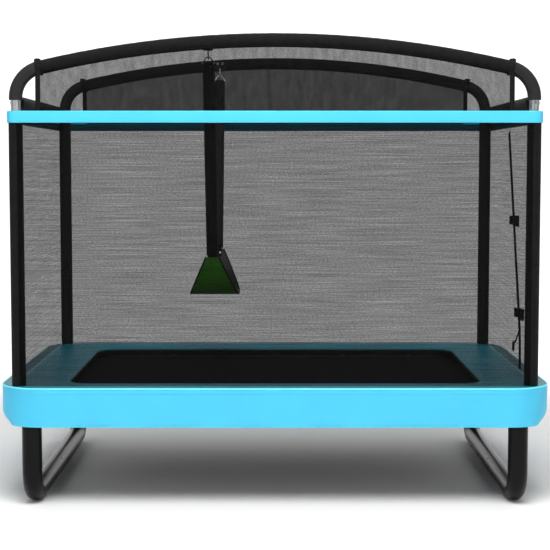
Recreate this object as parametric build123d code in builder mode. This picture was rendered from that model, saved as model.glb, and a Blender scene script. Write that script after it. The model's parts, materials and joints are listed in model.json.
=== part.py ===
from build123d import *
import os
from math import asin, atan2, cos, degrees, hypot, radians, sin, sqrt

os.makedirs("parts", exist_ok=True)

# Frame of the model: +X along the bed, +Z up, the viewer's long side at -Y.
# The origin is the middle of the bed's plan, on the floor. Millimetres.

# Bed: the safety pad with its skirt
PAD_LENGTH = 1905.0
PAD_WIDTH = 1270.0
PAD_CORNER = 150.0
PAD_TOP = 414.0
PAD_UNDER = 386.0
PAD_RIM = 12.0
SKIRT_FOOT = 278.0
SKIRT_THICK = 4.5
OPENING_LENGTH = 1462.0
OPENING_WIDTH = 960.0
OPENING_CORNER = 90.0
OPENING_TOP = 405.5

# Bed: the round tube frame
FIT = 0.3
RAIL_R = 20.0
RAIL_WALL = 1.5
RAIL_Z = 363.0
RAIL_X = 920.0
RAIL_Y = 600.0
BEND_R = 115.0
BEND_TAIL = 40.0
SPIGOT_LENGTH = 60.0

# Jump mat and its springs
MAT_LENGTH = 1620.0
MAT_WIDTH = 980.0
MAT_CORNER = 80.0
MAT_FOOT = 372.0
MAT_THICK = 3.0
RING_GAP = 1.0
RING_BASE = 36.0
RING_DEPTH = 26.0
RING_WIRE = 3.6
SPRING_Z = 373.5
SPRING_R = 9.0
SPRING_WIRE_R = 1.5
SPRING_COIL_START = 33.0
SPRING_COIL_LENGTH = 50.0
SPRING_REACH = 99.0
SPRINGS_LONG = 11
SPRINGS_SHORT = 7
PITCH_LONG = 140.0
PITCH_SHORT = 125.0
HOOK_HOLE_R = 3.0

# Legs: two U tubes, each in two halves
LEG_R = 34.0
LEG_WALL = 2.0
LEG_X = 836.0
LEG_Y = 589.0
LEG_TOP = 338.0
LEG_BEND_R = 85.0
LEG_STUB_FOOT = 283.0
LEG_STUB_HEAD = 344.4
LEG_STUB_PLATE = 3.4
LEG_SPIGOT = 110.0
BUTTON_Y = -60.0
BUTTON_R = 4.0
BUTTON_PROUD = 2.5
BUTTON_TILT = 40.0
BUTTON_FLANGE_R = 7.0

# Poles, foam sleeves and corner tubes
POLE_X = 879.0
POLE_Y = 575.0
POLE_R = 16.75
POLE_WALL = 1.5
POLE_FOOT = 384.0
POLE_TOP = 1389.0
POLE_SPIGOT_TOP = 474.0
FOAM_R = 23.0
FOAM_FOOT = 415.0
FOAM_TOP = 1350.0
ELBOW_R = 23.0
ELBOW_WALL = 2.0
ELBOW_BEND_R = 105.0
ELBOW_SPIGOT = 60.0
ELBOW_TENON = 38.0

# Arches over the front and back
ARCH_TOP = 1614.4
SLEEVE_R = 23.85
ARCH_TUBE_R = 19.0
ARCH_WALL = 1.5
ARCH_BEND_R = 3493.2
ARCH_CENTRE_Z = ARCH_TOP - SLEEVE_R - ARCH_BEND_R
ARCH_END_X = (POLE_X - ELBOW_BEND_R) / (1 - ELBOW_BEND_R / ARCH_BEND_R)
ARCH_END_ANGLE = degrees(asin(ARCH_END_X / ARCH_BEND_R))
ELBOW_CENTRE_Z = ARCH_CENTRE_Z + (ARCH_BEND_R - ELBOW_BEND_R) * cos(radians(ARCH_END_ANGLE))

# Side bars between the front and back poles
BAR_Z = 1381.0
BAR_R = 14.0
BAR_WALL = 1.5
BAR_FOAM_R = 24.0
BAR_FOAM_END = 547.0
BAR_END = 551.0
SADDLE_HEIGHT = 40.0
SADDLE_WIDTH = 30.0
SADDLE_DEPTH = 7.0

# Net and the band round its top
NET_CLEAR = 1.2
NET_THICK = 1.0
NET_FOOT = 414.6
NET_TOP = 1340.0
BAND_CLEAR = 2.6
BAND_THICK = 5.0
BAND_FOOT = 1312.0
BAND_TOP = 1352.0
UPPER_FOOT = 1341.0
UPPER_HALF = 782.0
UPPER_CLEAR = 1.5
HEM_X = 799.5
HEM_WIDTH = 17.0
HEM_THICK = 2.0

# Swing
SWING_X = -228.0
HANG_Y = 530.0
HANG_Z = 1562.0
SEAT_END_Y = 255.0
SEAT_END_Z = 835.0
SEAT_LOW_Z = 681.0
SEAT_WIDTH = 180.0
SEAT_END_WIDTH = 47.0
SEAT_THICK = 5.0
STAPLE_R = 3.0
STAPLE_HALF = 13.0
PLATE_WIDTH = 36.0
PLATE_HEIGHT = 40.0
PLATE_THICK = 3.0
PLATE_Z = 1577.0
HOOK_WIRE_R = 2.5
HOOK_HALF = 10.0
HOOK_LENGTH = 38.0
HOOK_GAP = 0.2
GATE_R = 2.2
GATE_PIVOT = 19.9
GATE_TIP = 4.9
LINK_WIRE = 4.5
LINK_WIDTH = 50.0
LINK_HEAD = 17.0
LINK_TOP = 24.6
LINK_FOOT = 51.6
STRAP_SLEEVE_R = 21.0
STRAP_SLEEVE_HOLE = 15.8
STRAP_SLEEVE_TOP = 52.2
WEBBING_WIDTH = 30.0
WEBBING_THICK = 3.0

# Door in the right-hand net: zip, buckles and straps
ZIP_TOP = (105.0, 1294.0)
ZIP_KNEE = (-192.0, 548.0)
ZIP_FOOT = (-200.0, 417.0)
ZIP_WIDTH = 36.0
ZIP_THICK = 1.5
SLIDER_START = 150.0
BUCKLES = {"upper": (-20.0, 958.0), "lower": (-155.0, 616.0)}
BUCKLE_FOOT = 7.8
BUCKLE_THICK = 9.0
BUCKLE_HEIGHT = 42.0
SOCKET_BACK = -38.0
SOCKET_MOUTH = 4.0
PLUG_BASE = 30.0
PRONG = 27.0
SLOT = 5.0
DOOR_STRAP_REACH = 90.0
DOOR_STRAP_HEIGHT = 38.0
TIE_POINTS = ((-160.0, 545.0), (-105.0, 512.0), (-40.0, 484.0))

# Bolts
BOLT_R = 3.0
BOLT_HEAD_R = 6.5
BOLT_HEAD_DEPTH = 5.0
BOLT_REACH = 12.0
SHORT_BOLT = 11.0
LONG_BOLT = 46.0

CORNERS = {
    "front_left": (-1, -1),
    "front_right": (1, -1),
    "back_left": (-1, 1),
    "back_right": (1, 1),
}


def save(part, name):
    """Label one finished piece and write it."""
    part.label = name
    export_step(part, f"parts/{name}.step")


def flipped(part, across_x, across_y):
    """The piece, mirrored to the left when across_x is negative and to the front when across_y is."""
    if across_x < 0:
        with BuildPart() as left_hand:
            mirror(part, about=Plane.YZ)
        part = left_hand.part
    if across_y < 0:
        with BuildPart() as front_hand:
            mirror(part, about=Plane.XZ)
        part = front_hand.part
    return part


# --- Bolts: one list of places, so that every hole and every bolt agree ---


def rail_bolts():
    """Bolts up through the frame's joints, as (start, direction)."""
    reach = BEND_TAIL + SPIGOT_LENGTH / 2
    places = []
    for side_x in (-1, 1):
        for side_y in (-1, 1):
            along_x = side_x * (RAIL_X - BEND_R - reach)
            along_y = side_y * (RAIL_Y - BEND_R - reach)
            places.append(((along_x, side_y * RAIL_Y, RAIL_Z - RAIL_R), (0, 0, 1)))
            places.append(((side_x * RAIL_X, along_y, RAIL_Z - RAIL_R), (0, 0, 1)))
    return places


def leg_bolts():
    """Bolts through the tops of the legs, from the inner side."""
    middle = (LEG_TOP + LEG_STUB_FOOT) / 2
    return [
        ((side_x * (LEG_X - LEG_R), side_y * LEG_Y, middle), (side_x, 0, 0))
        for side_x in (-1, 1)
        for side_y in (-1, 1)
    ]


def bar_bolts():
    """Bolts through the tops of the poles into the side bars, from outside."""
    return [
        ((side_x * POLE_X, side_y * (POLE_Y + POLE_R), BAR_Z), (0, -side_y, 0))
        for side_x in (-1, 1)
        for side_y in (-1, 1)
    ]


def plate_screws():
    """Screws through the swing's hanger plates into the arches."""
    face = POLE_Y - SLEEVE_R - PLATE_THICK
    half = PLATE_WIDTH / 2 - 8
    return [
        ((SWING_X + side * half, side_y * face, PLATE_Z + 12), (0, side_y, 0))
        for side in (-1, 1)
        for side_y in (-1, 1)
    ]


def cut_for(part, bolts, reach):
    """The piece with a clearance hole along each bolt."""
    with BuildPart() as drilled:
        add(part)
        for start, direction in bolts:
            with BuildSketch(Plane(origin=start, z_dir=direction)):
                Circle(BOLT_R + 0.2)
            extrude(amount=reach, both=True, mode=Mode.SUBTRACT)
    return drilled.part


# --- Frame of the bed ---


def make_frame_corner():
    """A bent corner with spigots for two rails, an upright for the pole and a stub for the leg."""
    tail_x = RAIL_X - BEND_R - BEND_TAIL
    tail_y = RAIL_Y - BEND_R - BEND_TAIL
    spigot_r = RAIL_R - RAIL_WALL - FIT
    with BuildPart() as corner:
        with BuildLine():
            FilletPolyline(
                (tail_x, RAIL_Y, RAIL_Z),
                (RAIL_X, RAIL_Y, RAIL_Z),
                (RAIL_X, tail_y, RAIL_Z),
                radius=BEND_R,
            )
        with BuildSketch(Plane(origin=(tail_x, RAIL_Y, RAIL_Z), z_dir=(1, 0, 0))):
            Circle(RAIL_R)
        sweep()
        with BuildSketch(Plane(origin=(tail_x, RAIL_Y, RAIL_Z), z_dir=(-1, 0, 0))):
            Circle(spigot_r)
        extrude(amount=SPIGOT_LENGTH)
        with BuildSketch(Plane(origin=(RAIL_X, tail_y, RAIL_Z), z_dir=(0, -1, 0))):
            Circle(spigot_r)
        extrude(amount=SPIGOT_LENGTH)
        with BuildSketch(Plane.XY.offset(RAIL_Z)):
            with Locations((POLE_X, POLE_Y)):
                Circle(POLE_R - POLE_WALL - FIT)
        extrude(amount=POLE_SPIGOT_TOP - RAIL_Z)
        with BuildSketch(Plane.XY.offset(LEG_STUB_FOOT)):
            with Locations((LEG_X, LEG_Y)):
                Circle(LEG_R - LEG_WALL - FIT)
        extrude(amount=LEG_STUB_HEAD - LEG_STUB_FOOT)
        bore_r = spigot_r - RAIL_WALL
        with BuildLine():
            bore = FilletPolyline(
                (tail_x - SPIGOT_LENGTH, RAIL_Y, RAIL_Z),
                (RAIL_X, RAIL_Y, RAIL_Z),
                (RAIL_X, tail_y - SPIGOT_LENGTH, RAIL_Z),
                radius=BEND_R,
            )
        with BuildSketch(Plane(origin=bore @ 0, z_dir=(1, 0, 0))):
            Circle(bore_r)
        sweep(mode=Mode.SUBTRACT)
        with BuildSketch(Plane.XY.offset(RAIL_Z + RAIL_R + 2)):
            with Locations((POLE_X, POLE_Y)):
                Circle(POLE_R - POLE_WALL - FIT - ELBOW_WALL)
        extrude(amount=POLE_SPIGOT_TOP - RAIL_Z, mode=Mode.SUBTRACT)
        with BuildSketch(Plane.XY.offset(LEG_STUB_FOOT)):
            with Locations((LEG_X, LEG_Y)):
                Circle(LEG_R - LEG_WALL - FIT - ELBOW_WALL)
        extrude(amount=LEG_STUB_HEAD - LEG_STUB_PLATE - LEG_STUB_FOOT, mode=Mode.SUBTRACT)
    return corner.part


def make_rail(half_length, hooks, pitch):
    """A straight rail along X at the back, with holes for the spring hooks on its inner side."""
    with BuildPart() as rail:
        with BuildSketch(Plane.YZ):
            with Locations((0, RAIL_Z)):
                Circle(RAIL_R)
                Circle(RAIL_R - RAIL_WALL, mode=Mode.SUBTRACT)
        extrude(amount=half_length, both=True)
        with BuildSketch(Plane.XZ):
            with Locations((0, SPRING_Z)):
                with GridLocations(pitch, 1, hooks, 1):
                    Circle(HOOK_HOLE_R)
        extrude(amount=RAIL_R, mode=Mode.SUBTRACT)
    return rail.part


corner_piece = make_frame_corner()
all_bolts = rail_bolts() + leg_bolts()
for name, (side_x, side_y) in CORNERS.items():
    corner = cut_for(flipped(corner_piece, side_x, side_y), all_bolts, BOLT_REACH)
    save(corner, f"frame_corner_{name}")

long_rail = make_rail(RAIL_X - BEND_R - BEND_TAIL, SPRINGS_LONG, PITCH_LONG)
short_rail = make_rail(RAIL_Y - BEND_R - BEND_TAIL, SPRINGS_SHORT, PITCH_SHORT)
RAILS = {
    "back": (long_rail, Location((0, RAIL_Y, 0))),
    "front": (long_rail, Location((0, -RAIL_Y, 0), (0, 0, 180))),
    "left": (short_rail, Location((-RAIL_X, 0, 0), (0, 0, 90))),
    "right": (short_rail, Location((RAIL_X, 0, 0), (0, 0, -90))),
}
for name, (straight, place) in RAILS.items():
    with BuildPart() as rail:
        with Locations(place):
            add(straight)
    save(cut_for(rail.part, rail_bolts(), BOLT_REACH), f"frame_rail_{name}")


# --- Legs ---


def button_plane(side_x):
    """A plane at the leg tube's centre, facing out along the snap button."""
    tilt = radians(BUTTON_TILT)
    return Plane(
        origin=(side_x * LEG_X, BUTTON_Y, LEG_R),
        z_dir=(-side_x * cos(tilt), 0, sin(tilt)),
    )


def make_leg_half(has_spigot):
    """Half of the right-hand U leg at the back: down, round the bend and along the floor."""
    low = LEG_R
    with BuildPart() as leg:
        with BuildLine():
            run = FilletPolyline(
                (LEG_X, LEG_Y, LEG_TOP), (LEG_X, LEG_Y, low), (LEG_X, 0, low), radius=LEG_BEND_R
            )
        with BuildSketch(Plane(origin=run @ 0, z_dir=(0, 0, -1))):
            Circle(LEG_R)
            Circle(LEG_R - LEG_WALL, mode=Mode.SUBTRACT)
        sweep()
        if has_spigot:
            with BuildSketch(Plane(origin=(LEG_X, LEG_WALL * 4, low), z_dir=(0, -1, 0))):
                Circle(LEG_R - LEG_WALL)
                Circle(LEG_R - 2 * LEG_WALL - FIT, mode=Mode.SUBTRACT)
            extrude(amount=LEG_WALL * 4)
            with BuildSketch(Plane(origin=(LEG_X, 0, low), z_dir=(0, -1, 0))):
                Circle(LEG_R - LEG_WALL - FIT)
                Circle(LEG_R - 2 * LEG_WALL - FIT, mode=Mode.SUBTRACT)
            extrude(amount=LEG_SPIGOT)
    return leg.part


leg_back = make_leg_half(True)
leg_front = flipped(make_leg_half(False), 1, -1)
for side, side_x in (("left", -1), ("right", 1)):
    for end, half in (("back", leg_back), ("front", leg_front)):
        with BuildPart() as leg_half:
            add(flipped(half, side_x, 1))
            with BuildSketch(button_plane(side_x)):
                Circle(BUTTON_R + FIT)
            extrude(amount=LEG_R * 1.5, mode=Mode.SUBTRACT)
        save(cut_for(leg_half.part, leg_bolts(), BOLT_REACH), f"leg_{side}_{end}")

for side, side_x in (("left", -1), ("right", 1)):
    plane = button_plane(side_x)
    shoulder = LEG_R - 2 * LEG_WALL - FIT - 2
    with BuildPart() as button:
        with BuildSketch(plane.offset(shoulder - 2)):
            Circle(BUTTON_FLANGE_R)
        extrude(amount=2)
        with BuildSketch(plane.offset(shoulder)):
            Circle(BUTTON_R)
        extrude(amount=LEG_R + BUTTON_PROUD - shoulder)
        fillet(button.faces().sort_by(plane.location.z_axis)[-1].edges(), 1.5)
    save(button.part, f"leg_button_{side}")


# --- Poles and foam sleeves ---

for name, (side_x, side_y) in CORNERS.items():
    with BuildPart() as pole:
        with BuildSketch(Plane.XY.offset(POLE_FOOT)):
            with Locations((side_x * POLE_X, side_y * POLE_Y)):
                Circle(POLE_R)
                Circle(POLE_R - POLE_WALL, mode=Mode.SUBTRACT)
        extrude(amount=POLE_TOP - POLE_FOOT)
    save(cut_for(pole.part, bar_bolts(), 2 * POLE_R + 2), f"pole_{name}")

with BuildPart() as pole_foams:
    with BuildSketch(Plane.XY.offset(FOAM_FOOT)):
        with GridLocations(2 * POLE_X, 2 * POLE_Y, 2, 2):
            Circle(FOAM_R)
            Circle(POLE_R + FIT, mode=Mode.SUBTRACT)
    extrude(amount=FOAM_TOP - FOAM_FOOT)
save(pole_foams.part, "pole_foams")


# --- Corner tubes, from the pole tops to the arches ---


def make_corner_tube():
    """The bend at the back right, with a spigot down into the pole and one into the arch tube."""
    slope = radians(ARCH_END_ANGLE)
    end = Vector(ARCH_END_X, POLE_Y, ELBOW_CENTRE_Z + ELBOW_BEND_R * cos(slope))
    towards_arch = Vector(-cos(slope), 0, sin(slope))
    spigot_r = POLE_R - POLE_WALL - FIT
    tenon_r = ARCH_TUBE_R - ARCH_WALL - FIT
    bend_plane = Plane.XZ.offset(-POLE_Y)
    bend_centre = (POLE_X - ELBOW_BEND_R, ELBOW_CENTRE_Z)
    with BuildPart() as elbow:
        with BuildSketch(Plane.XY.offset(POLE_TOP)):
            with Locations((POLE_X, POLE_Y)):
                Circle(ELBOW_R)
        extrude(amount=ELBOW_CENTRE_Z - POLE_TOP)
        fillet(elbow.faces().sort_by(Axis.Z)[0].edges(), 2)
        with BuildLine(bend_plane):
            CenterArc(bend_centre, ELBOW_BEND_R, 0, 90 - ARCH_END_ANGLE)
        with BuildSketch(Plane.XY.offset(ELBOW_CENTRE_Z)):
            with Locations((POLE_X, POLE_Y)):
                Circle(ELBOW_R)
        sweep()
        with BuildLine(bend_plane):
            CenterArc(bend_centre, ELBOW_BEND_R, 0, 88 - ARCH_END_ANGLE)
        with BuildSketch(Plane.XY.offset(ELBOW_CENTRE_Z)):
            with Locations((POLE_X, POLE_Y)):
                Circle(ELBOW_R - ELBOW_WALL)
        sweep(mode=Mode.SUBTRACT)
        with BuildSketch(Plane.XY.offset(POLE_TOP - ELBOW_SPIGOT)):
            with Locations((POLE_X, POLE_Y)):
                Circle(spigot_r)
        extrude(amount=ELBOW_SPIGOT + 1)
        with BuildSketch(Plane(origin=end, z_dir=towards_arch)):
            Circle(tenon_r)
        extrude(amount=ELBOW_TENON)
        with BuildSketch(Plane.XY.offset(POLE_TOP - ELBOW_SPIGOT)):
            with Locations((POLE_X, POLE_Y)):
                Circle(spigot_r - ELBOW_WALL)
        extrude(amount=ELBOW_SPIGOT + ELBOW_CENTRE_Z - POLE_TOP + 1, mode=Mode.SUBTRACT)
        with BuildSketch(Plane(origin=end + towards_arch * ELBOW_TENON, z_dir=-towards_arch)):
            Circle(tenon_r - ELBOW_WALL)
        extrude(amount=ELBOW_TENON + ELBOW_WALL + 4, mode=Mode.SUBTRACT)
    return elbow.part


corner_tube = make_corner_tube()
for name, (side_x, side_y) in CORNERS.items():
    elbow = cut_for(flipped(corner_tube, side_x, side_y), bar_bolts(), 2 * POLE_R + 2)
    save(elbow, f"corner_tube_{name}")


# --- Arches: steel tube inside a fabric sleeve ---


def make_arch(outer, inner, side_y):
    """A round tube along one arch, from corner tube to corner tube."""
    arch_plane = Plane.XZ.offset(-side_y * POLE_Y)
    with BuildPart() as arch:
        with BuildLine(arch_plane):
            curve = CenterArc(
                (0, ARCH_CENTRE_Z), ARCH_BEND_R, 90 - ARCH_END_ANGLE, 2 * ARCH_END_ANGLE
            )
        with BuildSketch(Plane(origin=curve @ 0, z_dir=curve % 0)):
            Circle(outer)
            Circle(inner, mode=Mode.SUBTRACT)
        sweep()
    return arch.part


for end, side_y in (("front", -1), ("back", 1)):
    tube = make_arch(ARCH_TUBE_R, ARCH_TUBE_R - ARCH_WALL, side_y)
    save(cut_for(tube, plate_screws(), 2 * SLEEVE_R), f"arch_tube_{end}")
    sleeve = make_arch(SLEEVE_R, ARCH_TUBE_R + FIT, side_y)
    save(cut_for(sleeve, plate_screws(), 2 * SLEEVE_R), f"arch_sleeve_{end}")


# --- Side bars and their foam ---

for side, side_x in (("left", -1), ("right", 1)):
    with BuildPart() as side_bar:
        with BuildSketch(Plane.XZ):
            with Locations((side_x * POLE_X, BAR_Z)):
                Circle(BAR_R)
        extrude(amount=BAR_END, both=True)
        with BuildSketch(Plane.XZ):
            with Locations((side_x * POLE_X, BAR_Z)):
                Circle(BAR_R - BAR_WALL)
        extrude(amount=BAR_END - SADDLE_DEPTH, both=True, mode=Mode.SUBTRACT)
        with BuildSketch(Plane.XY.offset(BAR_Z - SADDLE_HEIGHT / 2)):
            with Locations((side_x * POLE_X, 0)):
                with GridLocations(1, 2 * BAR_END + SADDLE_DEPTH, 1, 2):
                    Rectangle(SADDLE_WIDTH, 2 * SADDLE_DEPTH)
        extrude(amount=POLE_TOP - 1 - BAR_Z + SADDLE_HEIGHT / 2)
        with BuildSketch(Plane.XY.offset(BAR_Z - SADDLE_HEIGHT)):
            with Locations((side_x * POLE_X, 0)):
                with GridLocations(1, 2 * POLE_Y, 1, 2):
                    Circle(POLE_R + FIT)
        extrude(amount=2 * SADDLE_HEIGHT, mode=Mode.SUBTRACT)
    save(cut_for(side_bar.part, bar_bolts(), 2 * POLE_R + 14), f"side_bar_{side}")

with BuildPart() as side_bar_foams:
    with BuildSketch(Plane.XZ):
        with Locations((0, BAR_Z)):
            with GridLocations(2 * POLE_X, 1, 2, 1):
                Circle(BAR_FOAM_R)
                Circle(BAR_R + FIT, mode=Mode.SUBTRACT)
    extrude(amount=BAR_FOAM_END, both=True)
save(side_bar_foams.part, "side_bar_foams")


# --- Frame bolts: one group of separate solids ---

with BuildPart() as frame_bolts:
    for bolts, length in (
        (rail_bolts(), SHORT_BOLT),
        (leg_bolts(), SHORT_BOLT),
        (bar_bolts(), LONG_BOLT),
        (plate_screws(), LONG_BOLT / 2),
    ):
        for start, direction in bolts:
            seat = Plane(origin=start, z_dir=direction)
            with BuildSketch(seat):
                Circle(BOLT_R)
            extrude(amount=length)
            with BuildSketch(seat):
                RegularPolygon(BOLT_HEAD_R, 6)
            extrude(amount=-BOLT_HEAD_DEPTH)
save(frame_bolts.part, "frame_bolts")


# --- Jump mat, its rings and springs ---

with BuildPart() as jump_mat:
    with BuildSketch(Plane.XY.offset(MAT_FOOT)):
        RectangleRounded(MAT_LENGTH, MAT_WIDTH, MAT_CORNER)
    extrude(amount=MAT_THICK)
save(jump_mat.part, "jump_mat")


def side_frames():
    """For each side of the mat: its edge's distance, its outward turn and its spring places."""
    long_places = [PITCH_LONG * (i - (SPRINGS_LONG - 1) / 2) for i in range(SPRINGS_LONG)]
    short_places = [PITCH_SHORT * (i - (SPRINGS_SHORT - 1) / 2) for i in range(SPRINGS_SHORT)]
    return (
        (MAT_WIDTH / 2, 0, long_places),
        (MAT_LENGTH / 2, -90, short_places),
        (MAT_WIDTH / 2, 180, long_places),
        (MAT_LENGTH / 2, 90, short_places),
    )


with BuildPart() as mat_rings:
    with BuildSketch(Plane.XY.offset(SPRING_Z - RING_WIRE / 2)):
        for edge, turn, places in side_frames():
            with Locations(Location((0, 0, 0), (0, 0, turn))):
                with Locations([(place, edge + RING_GAP) for place in places]):
                    Polygon((-RING_BASE / 2, 0), (RING_BASE / 2, 0), (0, RING_DEPTH), align=None)
                    Polygon(
                        (-RING_BASE / 2 + 1.9 * RING_WIRE, RING_WIRE),
                        (RING_BASE / 2 - 1.9 * RING_WIRE, RING_WIRE),
                        (0, RING_DEPTH - 1.9 * RING_WIRE),
                        align=None,
                        mode=Mode.SUBTRACT,
                    )
    extrude(amount=RING_WIRE)
save(mat_rings.part, "mat_rings")

with BuildPart() as mat_springs:
    for edge, turn, places in side_frames():
        hook_start = RING_DEPTH + RING_GAP + 0.6
        for radius, start, end in (
            (SPRING_WIRE_R, hook_start, SPRING_REACH),
            (SPRING_R, SPRING_COIL_START, SPRING_COIL_START + SPRING_COIL_LENGTH),
        ):
            outward = Vector(0, 1, 0).rotate(Axis.Z, turn)
            along = Vector(1, 0, 0).rotate(Axis.Z, turn)
            root = outward * (edge + start) + Vector(0, 0, SPRING_Z)
            with BuildSketch(Plane(origin=root, x_dir=along, z_dir=outward)):
                with Locations([(place, 0) for place in places]):
                    Circle(radius)
            extrude(amount=end - start)
save(mat_springs.part, "mat_springs")


# --- Safety pad with its skirt ---

with BuildPart() as safety_pad:
    with BuildSketch(Plane.XY.offset(SKIRT_FOOT)):
        RectangleRounded(PAD_LENGTH, PAD_WIDTH, PAD_CORNER)
    extrude(amount=PAD_TOP - SKIRT_FOOT)
    fillet(safety_pad.faces().sort_by(Axis.Z)[-1].edges(), PAD_RIM)
    with BuildSketch(Plane.XY.offset(SKIRT_FOOT)):
        RectangleRounded(
            PAD_LENGTH - 2 * SKIRT_THICK, PAD_WIDTH - 2 * SKIRT_THICK, PAD_CORNER - SKIRT_THICK
        )
    extrude(amount=PAD_UNDER - SKIRT_FOOT, mode=Mode.SUBTRACT)
    with BuildSketch(Plane.XY.offset(OPENING_TOP)):
        RectangleRounded(OPENING_LENGTH, OPENING_WIDTH, OPENING_CORNER)
    with BuildSketch(Plane.XY.offset(PAD_TOP)):
        RectangleRounded(
            PAD_LENGTH - 2 * PAD_RIM, PAD_WIDTH - 2 * PAD_RIM, PAD_CORNER - PAD_RIM
        )
    loft(ruled=True, mode=Mode.SUBTRACT)
    with BuildSketch(Plane.XY.offset(PAD_UNDER)):
        RectangleRounded(OPENING_LENGTH, OPENING_WIDTH, OPENING_CORNER)
        with GridLocations(2 * POLE_X, 2 * POLE_Y, 2, 2):
            Circle(POLE_R + 3 * FIT)
    extrude(amount=PAD_TOP, mode=Mode.SUBTRACT)
save(safety_pad.part, "safety_pad")


# --- Net panels and the band round the poles ---


def ring_outline(clear, thick):
    """A thin closed outline round all four foam sleeves, clear of them by clear."""
    inner = FOAM_R + clear
    outer = inner + thick
    with BuildSketch() as outline:
        RectangleRounded(2 * (POLE_X + outer), 2 * (POLE_Y + outer), outer)
        RectangleRounded(2 * (POLE_X + inner), 2 * (POLE_Y + inner), inner, mode=Mode.SUBTRACT)
    return outline.sketch


NET_BOXES = {
    "front": ((0, -POLE_Y - 50), (PAD_LENGTH, 100)),
    "back": ((0, POLE_Y + 50), (PAD_LENGTH, 100)),
    "left": ((-POLE_X - 20, 0), (100, 2 * POLE_Y)),
    "right": ((POLE_X + 20, 0), (100, 2 * POLE_Y)),
}
for name, (centre, size) in NET_BOXES.items():
    with BuildPart() as net:
        with BuildSketch(Plane.XY.offset(NET_FOOT)):
            add(ring_outline(NET_CLEAR, NET_THICK))
            with Locations(centre):
                Rectangle(*size, mode=Mode.INTERSECT)
        extrude(amount=NET_TOP - NET_FOOT)
    save(net.part, f"net_{name}")

with BuildPart() as top_band:
    with BuildSketch(Plane.XY.offset(BAND_FOOT)):
        add(ring_outline(BAND_CLEAR, BAND_THICK))
    extrude(amount=BAND_TOP - BAND_FOOT)
    fillet(top_band.faces().sort_by(Axis.Z)[-1].outer_wire().edges(), 1.5)
save(top_band.part, "top_band")


# The upper nets lean in from the band to the underside of the arches.
LEAN_FOOT_Y = POLE_Y + FOAM_R + NET_CLEAR + NET_THICK / 2
LEAN_HEAD_Y = POLE_Y + SLEEVE_R * cos(radians(60))
LEAN_HEIGHT = ARCH_TOP - SLEEVE_R - SLEEVE_R * sin(radians(60)) - UPPER_FOOT
LEAN = atan2(LEAN_FOOT_Y - LEAN_HEAD_Y, LEAN_HEIGHT)


def arch_height(x):
    """Height of the arch's centre line at x."""
    return ARCH_CENTRE_Z + sqrt(ARCH_BEND_R**2 - x**2)


def under_arch(x):
    """How far up the leaning plane the arch's underside is, at x."""
    height = arch_height(x) - SLEEVE_R - UPPER_FOOT
    for _ in range(4):
        offset = LEAN_FOOT_Y - height * sin(LEAN) - POLE_Y
        height = arch_height(x) - sqrt(SLEEVE_R**2 - offset**2) - UPPER_FOOT - UPPER_CLEAR
    return height / cos(LEAN)


lean_plane = Plane(
    origin=(0, LEAN_FOOT_Y, UPPER_FOOT),
    x_dir=(-1, 0, 0),
    z_dir=(0, cos(LEAN), sin(LEAN)),
)
with BuildPart() as upper_net:
    with BuildSketch(lean_plane):
        with BuildLine():
            foot = Line((-UPPER_HALF, 0), (UPPER_HALF, 0))
            side = Line(foot @ 1, (UPPER_HALF, under_arch(UPPER_HALF)))
            head = ThreePointArc(
                side @ 1, (0, under_arch(0)), (-UPPER_HALF, under_arch(UPPER_HALF))
            )
            Line(head @ 1, foot @ 0)
        make_face()
    extrude(amount=NET_THICK / 2, both=True)
for end, side_y in (("front", -1), ("back", 1)):
    save(flipped(upper_net.part, 1, side_y), f"net_upper_{end}")


def make_hem():
    """The strap at the right end of the back upper net, with its loop round the arch."""
    slope = asin(HEM_X / ARCH_BEND_R)
    loop_centre = Vector(HEM_X, POLE_Y, arch_height(HEM_X))
    loop_r = SLEEVE_R + 0.4
    foot = BAND_TOP + 1 - UPPER_FOOT
    with BuildPart() as hem:
        with BuildSketch(lean_plane.offset(NET_THICK / 2 + 0.2)):
            with Locations((-HEM_X, foot)):
                Rectangle(
                    HEM_WIDTH,
                    under_arch(HEM_X) + 12 - foot,
                    align=(Align.CENTER, Align.MIN),
                )
        extrude(amount=HEM_THICK)
        with BuildSketch(Plane(origin=loop_centre, z_dir=(cos(slope), 0, -sin(slope)))):
            Circle(loop_r + HEM_THICK)
        extrude(amount=HEM_WIDTH / 2, both=True)
        with BuildSketch(Plane(origin=loop_centre, z_dir=(cos(slope), 0, -sin(slope)))):
            Circle(loop_r)
        extrude(amount=2 * HEM_WIDTH, both=True, mode=Mode.SUBTRACT)
    return hem.part


hem = make_hem()
with BuildPart() as net_hems:
    for side_x, side_y in CORNERS.values():
        add(flipped(hem, side_x, side_y))
save(net_hems.part, "net_hems")


# --- Swing: hangers, hooks, links, straps and seat ---

SWING_LEAN = atan2(HANG_Y - SEAT_END_Y, HANG_Z - SEAT_END_Z)
STRAP_LENGTH = hypot(HANG_Y - SEAT_END_Y, HANG_Z - SEAT_END_Z)
hang_point = (SWING_X, HANG_Y, HANG_Z)
# Both planes have their Y axis up along the strap of the back arch.
hook_plane = Plane(
    origin=hang_point, x_dir=(0, cos(SWING_LEAN), -sin(SWING_LEAN)), z_dir=(1, 0, 0)
)
link_plane = Plane(
    origin=hang_point, x_dir=(1, 0, 0), z_dir=(0, -cos(SWING_LEAN), sin(SWING_LEAN))
)


def along_strap(distance):
    """A plane square to the back strap, distance below the hang point, facing down it."""
    down = Vector(0, -sin(SWING_LEAN), -cos(SWING_LEAN))
    return Plane(origin=Vector(*hang_point) + down * distance, x_dir=(1, 0, 0), z_dir=down)


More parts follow.
